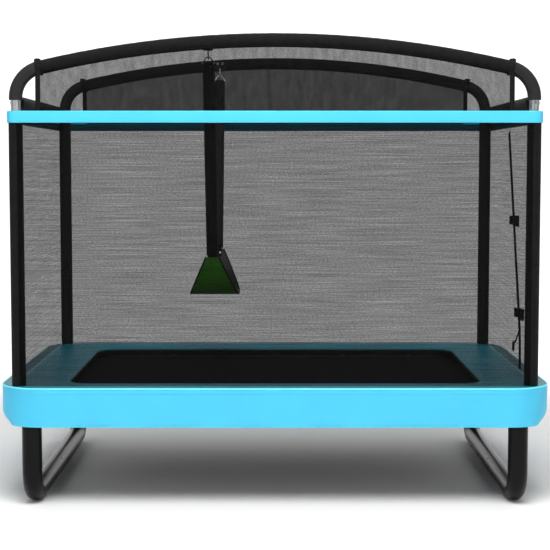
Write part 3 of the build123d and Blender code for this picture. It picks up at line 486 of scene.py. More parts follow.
def level_loop(half_x, half_y, r, z):
    """A rounded rectangle's outline as points at one height."""
    return [Vector((x, y, z)) for x, y in outline(half_x, half_y, r)]


def rounded(corners, far, close):
    """A closed run of corners, each cut into four points at those shares of its two sides."""
    line = []
    for i, corner in enumerate(corners):
        before, after = corners[i - 1], corners[(i + 1) % len(corners)]
        for other, near in ((before, far), (before, close), (after, close), (after, far)):
            line.append(tuple(c + (o - c) * near for c, o in zip(corner, other)))
    return line


def only(*objects):
    """Nothing selected but these, the first of them active."""
    bpy.ops.object.select_all(action="DESELECT")
    for o in objects:
        o.select_set(True)
    bpy.context.view_layer.objects.active = objects[0]


def joined(name, pieces):
    """Several pieces as one, under that name."""
    only(*pieces)
    if len(pieces) > 1:
        bpy.ops.object.join()
    made = bpy.context.view_layer.objects.active
    made.name = name
    made.data.name = name
    return made


def dress(piece, material, body, smooth=40, replaces=(), outwards=True):
    """Set a finished piece in place: outward faces, its finish, its body and what it stands for."""
    only(piece)
    bpy.ops.object.transform_apply(location=True, rotation=True, scale=True)
    if outwards:
        bpy.ops.object.mode_set(mode="EDIT")
        bpy.ops.mesh.select_all(action="SELECT")
        bpy.ops.mesh.normals_make_consistent(inside=False)
        bpy.ops.object.mode_set(mode="OBJECT")
    bpy.ops.object.shade_smooth_by_angle(angle=math.radians(smooth))
    piece.data.materials.clear()
    piece.data.materials.append(material)
    if replaces:
        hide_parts(*replaces)
    if body:
        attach(piece, body)
    return piece


def stitches(name, places, length, width, lift):
    """A row of sewn stitches: each a low six-sided bead from (point, along, up)."""
    points, faces = [], []
    for point, along, up in places:
        across = up.cross(along).normalized()
        base = len(points)
        for a, w, h in (
            (-0.5, 0, 0), (-0.25, 0.5, 0), (0.25, 0.5, 0), (0.5, 0, 0), (0.25, -0.5, 0), (-0.25, -0.5, 0),
            (-0.25, 0, 1), (0.25, 0, 1),
        ):
            points.append(point + along * a * length + across * w * width + up * h * lift)
        for f in ((0, 6, 1), (1, 6, 7, 2), (2, 7, 3), (3, 7, 4), (4, 7, 6, 5), (5, 6, 0), (5, 0, 1, 2, 3, 4)):
            faces.append(tuple(base + k for k in f))
    return new_mesh(name, points, faces)


def along_loop(points, pitch):
    """Places every pitch along a closed run of points, as (point, direction)."""
    places = []
    left = 0.0
    for i, here in enumerate(points):
        there = points[(i + 1) % len(points)]
        span = (there - here).length
        if span < 1e-9:
            continue
        step = (there - here) / span
        while left < span:
            places.append((here + step * left, step))
            left += pitch
        left -= span
    return places


def smooth_rise(x, start, end):
    s = min(max((x - start) / (end - start), 0.0), 1.0)
    return s * s * (3 - 2 * s)


# --- Bed ---


def make_pad(settings):
    """The safety pad: foam in coated cloth, its skirt sewn to the rim and drawn in at the corners."""
    outer = (pad_high.x, pad_high.y, 0.150)
    mat_hole = (0.731, 0.480, 0.090)
    top, under, foot = pad_high.z, pad_high.z - 0.028, pad_low.z
    inner_top, rim = top - 0.0085, 0.012
    # Each step round the section: share from hole to rim, outward shift, height, zone. Zone 1 paints the
    # pad's top and the top of its rim in the darker blue as painted shade; zone 2 is the black lining
    section = [
        (0.0, 0.0, under - 0.007, 2), (0.0, -0.001, under + 0.008, 2), (0.0, 0.0, inner_top - 0.004, 2),
        (0.0, 0.0005, inner_top - 0.0034, 1), (0.0, 0.003, inner_top - 0.0008, 1),
    ]
    for k in range(1, 14):
        s = k / 14
        crown = 0.0016 * math.sin(math.pi * s) + 0.0007 * math.sin(math.pi * s * 6)
        section.append((s * 0.955, 0.0, inner_top + (top - inner_top - 0.001) * s + crown, 1))
    for k in range(0, 7):
        a = math.radians(15 * k)
        section.append((1.0, rim * math.sin(a) - rim, top - rim + rim * math.cos(a), 1 if k < 3 else 0))
    drops = [d * MM for d in (12, 24, 36, 48, 60, 70, 79, 87, 94, 100, 106, 111, 116, 120, 124)]
    section += [(1.0, 0.0, top - rim - drop, 0) for drop in drops]
    section += [(1.0, -0.0015, foot - 0.0006, 0), (1.0, -0.0032, foot - 0.0002, 2)]
    section += [(1.0, -0.0045, top - rim - drop, 2) for drop in reversed(drops)]
    section += [(1.0, -0.0045, under, 2), (0.5, 0.0, under, 2), (0.02, 0.0, under - 0.007, 2)]
    rings = []
    rng = random.Random(4)
    waves = [(rng.uniform(5, 26), rng.uniform(0, math.tau), rng.uniform(0.2, 1)) for _ in range(7)]
    for share, shift, z, _ in section:
        hx = mat_hole[0] + (outer[0] - mat_hole[0]) * share + shift
        hy = mat_hole[1] + (outer[1] - mat_hole[1]) * share + shift
        r = mat_hole[2] + (outer[2] - mat_hole[2]) * share + shift
        ring = []
        low = 1 - min(max((z - foot) / 0.050, 0), 1)
        hang = 1 - min(max((z - foot) / (top - foot), 0), 1)
        for x, y in outline(hx, hy, r):
            out = Vector((0, 0, 0))
            if share == 1.0:
                cx, cy = outer[0] - outer[2], outer[1] - outer[2]
                bend = Vector((max(abs(x) - cx, 0), max(abs(y) - cy, 0), 0))
                facing = math.degrees(math.atan2(bend.y, bend.x)) if bend.length else 0
                if bend.length:
                    bend = bend.normalized()
                beside = 1 if abs(y) > cy else 0.35 + 0.65 * smooth_rise(abs(y), 0.26, cy)
                draw = (1 - smooth_rise(facing, 18, 52)) * beside
                if bend.x < 1e-6:
                    draw = 0
                pull = 0.044 * draw * (1 - math.sqrt(max(0.0, 1 - low ** 2)))
                ripple = sum(w * math.sin(f * (x * 1.0 + y * 1.7) + p) for f, p, w in waves) * 0.0005 * hang
                pull += max(ripple, -0.002) + 0.0004
                out = Vector((-bend.x * math.copysign(1, x), -bend.y * math.copysign(1, y), 0)) * pull
            ring.append(Vector((x, y, z)) + out)
        rings.append(ring)
    pad = loft("pad", rings, rows_closed=True, shaded=[float(step[3]) for step in section])
    dress(pad, look["vinyl"], "frame", 50, ["safety_pad"])

    # A fine welt runs round the rim where top and skirt are sewn together. Its pale blue is a painted
    # highlight along the rim's top edge.
    bead = level_loop(outer[0] - 0.0022, outer[1] - 0.0022, outer[2] - 0.002, top - 0.0045)
    bead.append(bead[0])
    welt = tube("pad_welt", bead, settings.welt_radius, 8, capped=False, side=UP)
    dress(welt, look["piping"], "frame", 60)
    rows = []
    for drop in (0.022, 0.1285):
        loop = level_loop(*(size - 0.0002 for size in outer), top - drop)
        for point, along in along_loop(loop, settings.stitch_pitch):
            if drop > 0.1 and abs(point.x) > outer[0] - 0.14:
                continue
            rows.append((point, along, along.cross(UP)))
    for inset in (0.010, 0.018):
        loop = level_loop(*(size + inset for size in mat_hole), inner_top + 0.0016)
        rows += [(point, along, UP) for point, along in along_loop(loop, settings.stitch_pitch)]
    sewn = stitches("pad_stitches", rows, 6 * MM, 1.3 * MM, 0.7 * MM)
    dress(sewn, look["blue_thread"], "frame", 60)


def make_mat():
    """The jump mat: woven cloth under tension and a doubled webbing hem sewn round it."""
    half_x, half_y = mat_high.x, mat_high.y
    middle = (mat_low.z + mat_high.z) / 2
    rings = []
    for inset in (0.0, 0.02, 0.04, 0.09, 0.16, 0.24, 0.33, 0.42, 0.47):
        ring = []
        for x, y in outline(half_x - 0.001 - inset, half_y - 0.001 - inset, 0.079 - inset):
            dip = 1.2 * MM * (1 - (x / half_x) ** 2) * (1 - (y / half_y) ** 2)
            ring.append(Vector((x, y, middle - dip)))
        rings.append(ring)
    cloth = loft("mat_cloth", rings)
    cloth.data.update()
    only(cloth)
    bpy.ops.object.mode_set(mode="EDIT")
    bpy.ops.mesh.select_mode(type="EDGE")
    bpy.ops.mesh.select_all(action="DESELECT")
    bpy.ops.object.mode_set(mode="OBJECT")
    inner = len(rings[0]) * (len(rings) - 1)
    for edge in cloth.data.edges:
        edge.select = all(v >= inner for v in edge.vertices)
    bpy.ops.object.mode_set(mode="EDIT")
    bpy.ops.mesh.edge_face_add()
    bpy.ops.object.mode_set(mode="OBJECT")
    dress(cloth, look["mat"], "mat", 60, ["jump_mat"])
    hem_rings = []
    half_section = ((0.0, 1.0), (0.0015, 2.4), (0.036, 2.4), (0.038, 1.0))
    for inset, lift in half_section + tuple((inset, -lift) for inset, lift in reversed(half_section)):
        hem_rings.append(level_loop(half_x - inset, half_y - inset, 0.080 - inset, middle + lift * MM))
    hem = loft("mat_hem", hem_rings, rows_closed=True)
    dress(hem, look["webbing"], "mat", 40)
    rows = []
    for inset in (0.004, 0.012, 0.034):
        loop = level_loop(half_x - inset, half_y - inset, 0.08 - inset, middle + 2.4 * MM)
        rows += [(point, along, UP) for point, along in along_loop(loop, 10 * MM)]
    sewn = stitches("mat_stitches", rows, 6 * MM, 1.3 * MM, 0.6 * MM)
    dress(sewn, look["black_thread"], "mat", 60)


def spring_places():
    """Each spring's side name, root on the mat's edge, outward direction and direction along the edge."""
    places = []
    for name, edge, outward, pitch, count in (
        ("back", mat_high.y, Vector((0, 1, 0)), 0.140, 11),
        ("right", mat_high.x, ACROSS_BED, 0.125, 7),
        ("front", mat_high.y, Vector((0, -1, 0)), 0.140, 11),
        ("left", mat_high.x, Vector((-1, 0, 0)), 0.125, 7),
    ):
        along = Vector((outward.y, -outward.x, 0))
        height = (mat_low.z + mat_high.z) / 2
        for i in range(count):
            root = outward * edge + along * pitch * (i - (count - 1) / 2)
            places.append((name, Vector((root.x, root.y, height)), outward, along))
    return places


def make_rings_and_springs():
    """The V rings in the mat's hem, and the hooked coil springs from them to the rails."""
    rings, tabs = [], []
    coils = {"back": [], "right": [], "front": [], "left": []}
    up = UP
    for name, root, outward, along in spring_places():
        line = rounded([(-14.4, 2.8), (14.4, 2.8), (0, 23.4)], 0.14, 0.05)
        path = [root + along * a * MM + outward * b * MM for a, b in line]
        ring = tube("ring", path + [path[0]], 1.7 * MM, 8, capped=False, side=up)
        rings.append(ring)
        fold = []
        for k in range(9):
            a = math.radians(-90 + 180 * k / 8)
            fold.append(root + outward * (2.8 + 2.7 * math.cos(a)) * MM + up * 2.7 * math.sin(a) * MM)
        fold = [fold[0] - outward * 22 * MM] + fold + [fold[-1] - outward * 22 * MM]
        tabs.append(strap("tab", fold, along, 24 * MM, 1.0 * MM, 0.2 * MM))
        turns, steps = 20, 8
        line = [(23.0, 0, 0.0), (24.4, 0, 2.4), (27.0, 0, 3.2), (29.6, 0, 1.2), (31.5, 3.5, 0.5)]
        for k in range(turns * steps + 1):
            a = math.tau * k / steps
            line.append((34 + 48.0 * k / (turns * steps), 7.9 * math.cos(a), 7.9 * math.sin(a)))
        line += [(83.4, 3.5, 0.5), (86, 0, 0), (94, 0, 0), (98.3, 0, -1.2), (99.2, 0, -4.0)]
        path = [root + outward * d * MM + along * a * MM + up * b * MM for d, a, b in line]
        coils[name].append(tube("coil", path, 1.05 * MM, 4, side=None))
    dress(joined("ring_wires", rings), look["zinc"], "mat", 60, ["mat_rings"])
    dress(joined("ring_tabs", tabs), look["webbing"], "mat", 50)
    for name, pieces in coils.items():
        side = joined(f"springs_{name}", pieces)
        dress(side, look["zinc"], None, 80, ["mat_springs"] if name == "back" else [])
        outward = {"back": (0, 1), "front": (0, -1), "right": (1, 0), "left": (-1, 0)}[name]
        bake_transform(side)


# --- Enclosure ---


def net_plan(name):
    """The plan line of one net panel, wrapped round its poles at the front and back."""
    x, y = pole_at.x, pole_at.y
    if name in ("left", "right"):
        side = 1 if name == "right" else -1
        return [(side * (x + net_turn), y * (2 * k / 60 - 1) * side) for k in range(61)]
    side = 1 if name == "back" else -1
    line = []
    for k in range(9):
        a = math.radians(90 * k / 8)
        line.append((x + net_turn * math.cos(a), side * (y + net_turn * math.sin(a))))
    line += [(x - 2 * x * k / 90, side * (y + net_turn)) for k in range(1, 90)]
    for k in range(9):
        a = math.radians(90 + 90 * k / 8)
        line.append((-x + net_turn * math.cos(a), side * (y + net_turn * math.sin(a))))
    return line if side > 0 else line[::-1]


def make_nets():
    """The four lower net panels: one knitted cloth each, stretched from the pad to the band."""
    foot, head = net_low.z, net_high.z
    for index, name in enumerate(("front", "back", "left", "right")):
        rng = random.Random(11 + index)
        waves = [(rng.uniform(4, 15), rng.uniform(3, 9), rng.uniform(0, math.tau)) for _ in range(5)]
        plan = net_plan(name)
        rings = []
        for k in range(41):
            z = foot + (head - foot) * k / 40
            ring = []
            for x, y in plan:
                slack = math.sin(math.pi * k / 40)
                depth = sum(math.sin(a * (x + y) + b * z + c) for a, b, c in waves) / 5
                inward = 0.0 if name == "right" else (1.2 + 0.9 * depth) * MM * slack
                from_pole = pole_at.x - abs(x) if name in ("front", "back") else pole_at.y - abs(y)
                near_pole = min(1.0, max(0.0, from_pole / 0.1))
                shift = inward * near_pole
                if name in ("front", "back"):
                    ring.append(Vector((x, y - math.copysign(shift, y), z)))
                else:
                    ring.append(Vector((x - math.copysign(shift, x), y, z)))
            rings.append(ring)
        panel = loft(f"net_cloth_{name}", rings, ring_closed=False)
        dress(panel, look["net"], "frame", 60, [f"net_{name}"], outwards=False)


def make_net_pockets():
    """The sewn pockets where the nets turn round the poles, doubled cloth from foot to band."""
    strips = []
    for sx, sy in SIDES:
        rings = []
        for z in [net_low.z + (net_high.z - net_low.z) * k / 30 for k in range(31)]:
            ring = []
            for r in (net_turn + 0.6 * MM, net_turn - 0.5 * MM):
                spread = [math.radians(-22 + 134 * k / 14) for k in range(15)]
                for a in spread if r > net_turn else spread[::-1]:
                    x, y = pole_at.x + r * math.cos(a), pole_at.y + r * math.sin(a)
                    ring.append(Vector((sx * x, sy * y, z)))
            rings.append(ring)
        strips.append(loft("pocket", rings, capped=True))
    dress(joined("net_pole_pockets", strips), look["cover"], "frame", 50)


def arch_point(angle, side):
    """A point on an arch's middle line, at that angle from its crown."""
    centre_z = sleeve_high.z - sleeve_r - ARCH_BEND_R
    return Vector((ARCH_BEND_R * math.sin(angle), side * arch_y, centre_z + ARCH_BEND_R * math.cos(angle)))


def arch_height(x):
    """The height of an arch's middle line over a point along the bed."""
    return sleeve_high.z - sleeve_r - ARCH_BEND_R + math.sqrt(ARCH_BEND_R ** 2 - x ** 2)


def make_upper_nets():
    """The nets that lean from the band up to the underside of each arch."""
    low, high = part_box("net_upper_back")
    for name, side in (("front", -1), ("back", 1)):
        half = high.x + 0.010
        foot_y, head_y = high.y - 0.0005, low.y + 0.0005
        rings = []
        rise = high.z - low.z
        for k in range(25):
            ring = []
            for j in range(81):
                x = half * (2 * j / 80 - 1)
                top = high.z - (arch_height(0) - arch_height(x))
                z = low.z + (top - low.z) * k / 24
                lean = foot_y + (head_y - foot_y) * (z - low.z) / rise
                ring.append(Vector((x, side * lean, z)))
            rings.append(ring)
        panel = loft(f"upper_net_cloth_{name}", rings, ring_closed=False)
        dress(panel, look["upper_net"], "frame", 60, [f"net_upper_{name}"], outwards=False)


def make_band(settings):
    """The band round the poles: folded coated cloth over a flat foam strip, sewn near both edges."""
    outer = band_high.x - pole_at.x
    inner = outer - 0.005
    foot, head = band_low.z, band_high.z
    section = []
    for k in range(13):
        s = k / 12
        z = foot + 0.0015 + (head - foot - 0.003) * s
        seam = 0.0005 * (math.exp(-((s - 0.12) / 0.035) ** 2) + math.exp(-((s - 0.88) / 0.035) ** 2))
        section.append((outer - 0.0004 * (2 * s - 1) ** 4 - seam, z, 0.0))
    # The third value is the zone: the band's inside face takes 1, the darker blue of painted shade.
    section += [(outer - 0.0015, head, 0.0), (inner + 0.001, head, 1.0)]
    section += [(inner, head - 0.0015, 1.0), (inner, (foot + head) / 2, 1.0), (inner, foot + 0.0015, 1.0)]
    section += [(inner + 0.001, foot, 1.0), (outer - 0.0015, foot, 0.0)]
    rings = []
    for out, z, _ in section:
        rings.append([
            Vector((x, y, z)) for x, y in outline(pole_at.x + out, pole_at.y + out, out, 10, 60, 40)
        ])
    band = loft("band", rings, rows_closed=True, shaded=[s[2] for s in section])
    dress(band, look["vinyl"], "frame", 50, ["top_band"])
    rows = []
    for z in (foot + 0.0048, head - 0.0048):
        loop = level_loop(pole_at.x + outer - 0.0006, pole_at.y + outer - 0.0006, outer, z)
        rows += [(point, along, along.cross(UP)) for point, along in along_loop(loop, settings.stitch_pitch)]
    sewn = stitches("band_stitches", rows, 6 * MM, 1.1 * MM, 0.6 * MM)
    dress(sewn, look["blue_thread"], "frame", 60)


def slack_tube(name, path, r, seed, side, fold=0.5, seam=0.6):
    """A cloth or foam sleeve: round, with faint dents and a sewn seam down one line."""
    rng = random.Random(seed)
    dents = [(rng.uniform(0.3, 2.2), rng.randint(1, 5), rng.uniform(0, math.tau)) for _ in range(5)]

    def radius(i, angle):
        dent = sum(math.sin(a * i + b * angle + c) for a, b, c in dents) / 5
        ridge = math.exp(-((math.remainder(angle - math.pi / 2, math.tau)) / 0.16) ** 2)
        inside = 1 if 1 < i < len(path) - 2 else 0
        end_round = 0.9 * MM if i in (0, len(path) - 1) else 0
        return r - 0.3 * MM + (fold * dent * inside + seam * ridge * inside) * MM - end_round

    return tube(name, path, radius, 28, side=side)


def make_foams():
    """The foam sleeves: four on the poles and two on the side bars."""
    foot, head = foam_low.z, foam_high.z
    tall = []
    for index, (sx, sy) in enumerate(SIDES):
        steps = [0, 0.0012] + [k / 64 for k in range(1, 64)] + [0.9988, 1]
        path = [Vector((sx * pole_at.x, sy * pole_at.y, foot + (head - foot) * s)) for s in steps]
        tall.append(slack_tube("pole_foam", path, foam_r, 21 + index, Vector((0, -sy, 0)), 0.35, 0.5))
    poles = joined("pole_foam_sleeves", tall)
    dress(poles, look["foam"], "frame", 50, ["pole_foams"])
    bars = []
    bar_r = (bar_high.z - bar_low.z) / 2
    for index, side in enumerate((-1, 1)):
        steps = [0, 0.0012] + [k / 70 for k in range(1, 70)] + [0.9988, 1]
        centre = Vector((side * (bar_high.x - bar_r), 0, (bar_low.z + bar_high.z) / 2))
        path = [centre + Vector((0, bar_low.y + (bar_high.y - bar_low.y) * s, 0)) for s in steps]
        bars.append(slack_tube("bar_foam", path, bar_r, 31 + index, ACROSS_BED, 0.35, 0.5))
    sides = joined("bar_foam_sleeves", bars)
    dress(sides, look["foam"], "frame", 50, ["side_bar_foams"])


def make_arch_sleeves():
    """The cloth sleeves drawn over both arches, each with a row of stitches."""
    reach = math.degrees(math.asin((sleeve_high.x - sleeve_r * 0.228) / ARCH_BEND_R))
    for index, (name, side) in enumerate((("front", -1), ("back", 1))):
        path = []
        steps = [-1, -0.9992] + [k / 90 - 1 for k in range(1, 180)] + [0.9992, 1]
        for s in steps:
            path.append(arch_point(math.radians(reach * s), side))
        cover = slack_tube(f"arch_cover_{name}", path, sleeve_r, 41 + index, Vector((0, side, 0)), 0.6, 0.3)
        dress(cover, look["cover"], "frame", 50, [f"arch_sleeve_{name}"])
        rows = []
        for s in [k / 400 for k in range(-392, 393)]:
            a = math.radians(reach * s)
            along = Vector((math.cos(a), 0, -math.sin(a)))
            out = Vector((math.sin(a) * 0.94, -side * 0.34, math.cos(a) * -0.94))
            out = (out - along * out.dot(along)).normalized()
            rows.append((arch_point(a, side) + out * (sleeve_r + 0.1 * MM), along, out))
        sewn = stitches(f"arch_stitches_{name}", rows[::2], 6 * MM, 1.1 * MM, 0.5 * MM)
        dress(sewn, look["black_thread"], "frame", 60)


def make_hem_straps(settings):
    """The straps that end each upper net and loop round the arch, each with its knob."""
    straps, knobs = [], []
    low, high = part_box("net_upper_back")
    hem_x = hem_high.x - 0.0085 - 0.0055
    for sx, sy in SIDES:
        x = sx * hem_x
        top = arch_height(hem_x)
        foot = Vector((x, sy * (high.y + 0.0012), band_high.z + 0.001))
        loop_r = sleeve_r + 1.2 * MM
        start = math.radians(-28)
        tilt = math.asin(hem_x / ARCH_BEND_R)
        path = [foot]
        first = Vector((x, sy * (arch_y + loop_r * math.cos(start)), top + loop_r * math.sin(start)))
        path += [foot.lerp(first, k / 8) for k in range(1, 8)]
        for k in range(37):
            a = start + math.radians(340) * k / 36
            rise, y = loop_r * math.sin(a), arch_y + loop_r * math.cos(a)
            path.append(Vector((x + sx * rise * math.sin(tilt), sy * y, top + rise)))
        straps.append(strap("hem", path, ACROSS_BED, settings.hem_width, 2.0 * MM))
        bpy.ops.object.select_all(action="DESELECT")
        bpy.ops.mesh.primitive_uv_sphere_add(
            segments=20, ring_count=10, radius=0.0095,
            location=(x + sx * 0.0045, sy * arch_y, top + sleeve_r + 3.2 * MM),
        )
        knob = bpy.context.active_object
        knob.scale = (1.25, 1.15, 0.52)
        knobs.append(knob)
    for knob in knobs:
        only(knob)
        bpy.ops.object.transform_apply(location=True, rotation=True, scale=True)
    dress(joined("hem_straps", straps), look["webbing"], "frame", 50, ["net_hems"])
    dress(joined("hem_knobs", knobs), look["acetal"], "frame", 60)


# --- Swing ---


def strap_line():
    """The lean of the swing's straps and the unit vector up the back one."""
    seat_end = Vector((0, seat_high.y - 0.0024, seat_high.z - 0.0009))
    lean = math.atan2(hang_point.y - seat_end.y, hang_point.z - seat_end.z)
    return lean, Vector((0, math.sin(lean), math.cos(lean))), seat_end


def mirrored(v, side):
    return Vector((v.x, v.y * side, v.z))


def make_swing(settings):
    """Round-wire links, webbing in foam sleeves, and the belt seat with its edge and rivets."""
    lean, up, seat_end = strap_line()
    square = Vector((0, math.cos(lean), -math.sin(lean)))
    x = hang_point.x
    links, folds = [], []
    box_low, box_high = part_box("swing_sleeve_back")
    strap_r = (box_high.x - box_low.x) / 2
    span = (hang_point - Vector((x, seat_end.y, seat_end.z))).length
    for side, name in ((-1, "front"), (1, "back")):
        line = rounded([(-22.6, -49.4), (22.6, -49.4), (6.6, -26.9), (-6.6, -26.9)], 0.16, 0.05)
        path = [mirrored(hang_point + Vector((a * MM, 0, 0)) + up * b * MM, side) for a, b in line]
        links.append(tube("link", path + [path[0]], 2.2 * MM, 10, capped=False, side=mirrored(square, side)))
        fold = [hang_point + up * (-0.0494) + up * 3.1 * MM * math.sin(a) + square * 3.1 * MM * math.cos(a)
                for a in [math.radians(-30 + 240 * k / 12) for k in range(13)]]
        hidden = [hang_point - up * 0.075 + square * s * 1.7 * MM for s in (1, -1)]
        fold = [mirrored(p, side) for p in (hidden[0], *fold, hidden[1])]
        folds.append(strap("fold", fold, ACROSS_BED, settings.swing_webbing_width, 1.8 * MM))
        path = []
        low_end, high_end = 8 * MM, span - 0.0522
        steps = [0, 0.002] + [k / 60 for k in range(1, 60)] + [0.998, 1]
        for s in steps:
            point = Vector((x, seat_end.y, seat_end.z)) + up * (low_end + (high_end - low_end) * s)
            path.append(mirrored(point, side))
        seam_side = mirrored(square, side)
        sleeve = slack_tube(f"strap_sleeve_{name}", path, strap_r, 51 + side, seam_side, 0.6, 0.7)
        dress(sleeve, look["foam"], "swing", 50, [f"swing_sleeve_{name}"])
    dress(joined("swing_link_wires", links), look["zinc"], "swing", 60, ["swing_links"])
    for side in (-1, 1):
        end = [Vector((x, seat_end.y, seat_end.z)) + up * d for d in (0.012, 0.004, -0.006, -0.018, -0.034)]
        end = [mirrored(p - square * 4.0 * MM, side) for p in end]
        folds.append(strap("tail", end, ACROSS_BED, settings.swing_webbing_width, 1.8 * MM))
    dress(joined("swing_strap_ends", folds), look["webbing"], "swing", 50, ["swing_webbing"])

    # The belt seat: the strip's middle line in the Y-Z plane, its width at each point
    turn = math.pi / 2 - lean
    middle_z = seat_low.z + 2.5 * MM
    bend = (seat_end.z - middle_z) / (1 - math.cos(turn))
    flat = seat_end.y - bend * math.sin(turn)
    half_line = [(flat * k / 8, middle_z, 0.0) for k in range(9)]
    for a in [turn * k / 22 for k in range(1, 23)]:
        half_line.append((flat + bend * math.sin(a), middle_z + bend * (1 - math.cos(a)), a))
    line = [(-y, z, -a) for y, z, a in half_line[:0:-1]] + half_line
    wide, narrow = (seat_high.x - seat_low.x) / 2, 0.0235
    rings, edges = [], {-1: [], 1: []}
    for y, z, a in line:
        out = Vector((0, math.sin(a), -math.cos(a)))
        rise = max(0.0, (z - (seat_low.z + 5 * MM)) / (seat_end.z - seat_low.z - 5 * MM))
        half = wide + (narrow - wide) * rise
        ring = []
        for k in range(13):
            across = half * (k / 6 - 1)
            ring.append(Vector((x + across, y, z)) + out * 2.4 * MM)
        for k in range(13):
            across = half * (1 - k / 6)
            ring.append(Vector((x + across, y, z)) - out * 2.4 * MM)
        rings.append(ring)
        for side in (-1, 1):
            edges[side].append(Vector((x + side * half, y, z)))
    seat = loft("belt_seat", rings, capped=True)
    # The inner face's points take zone 1, so the seat's inner face is painted in the dim pair as painted
    # shade.
    zone = seat.data.attributes.new("shaded", "FLOAT", "POINT")
    zone.data.foreach_set("value", [0.0 if k % 26 < 13 else 1.0 for k in range(len(rings) * 26)])
    dress(seat, look["seat"], "swing", 40, ["swing_seat"])
    rims = [tube("rim", edges[side], 3.3 * MM, 10) for side in (-1, 1)]
    dress(joined("seat_rims", rims), look["rim"], "swing", 60)
    rivets = []
    for side in (-1, 1):
        for dx in (-9, 9):
            point = Vector((x + dx * MM, seat_end.y, seat_end.z)) - up * 0.016 - square * 4.9 * MM
            bpy.ops.object.select_all(action="DESELECT")
            bpy.ops.mesh.primitive_uv_sphere_add(segments=16, ring_count=8, radius=0.0048)
            rivet = bpy.context.active_object
            tilt = mirrored(-square, side).to_track_quat("Z", "Y")
            turned = tilt.to_matrix().to_4x4() @ Matrix.Diagonal((1, 1, 0.42, 1))
            rivet.matrix_world = Matrix.Translation(mirrored(point, side)) @ turned
            rivets.append(rivet)
    for rivet in rivets:
        only(rivet)
        bpy.ops.object.transform_apply(location=True, rotation=True, scale=True)
    dress(joined("seat_rivets", rivets), look["zinc"], "swing", 60)


# --- Door ---

ZIP_TOP = (0.105, 1.294)
ZIP_KNEE = (-0.192, 0.548)
ZIP_FOOT = (-0.200, 0.417)
TIE_POINTS = (
    (-0.166, 0.551), (-0.155, 0.541), (-0.138, 0.530), (-0.118, 0.518),
    (-0.096, 0.508), (-0.074, 0.498), (-0.056, 0.490), (-0.040, 0.484),
)
BUCKLES = {"upper": (-0.020, 0.958), "lower": (-0.155, 0.616)}


def zip_line(steps=150):
    """The zip's line on the net as (Y, Z) points, straight runs joined by one wide bend."""
    top, knee, foot = Vector(ZIP_TOP), Vector(ZIP_KNEE), Vector(ZIP_FOOT)
    a, b = (top - knee).normalized(), (foot - knee).normalized()
    half = a.angle(b) / 2
    reach = 0.300 / math.tan(half)
    centre = knee + (a + b).normalized() * (0.300 / math.sin(half))
    start, end = knee + a * reach, knee + b * reach
    points = [top.lerp(start, k / 40) for k in range(40)]
    for k in range(21):
        spoke = ((start - centre).lerp(end - centre, k / 20)).normalized() * 0.300
        points.append(centre + spoke)
    points += [end.lerp(foot, k / 14) for k in range(1, 15)]
    return points


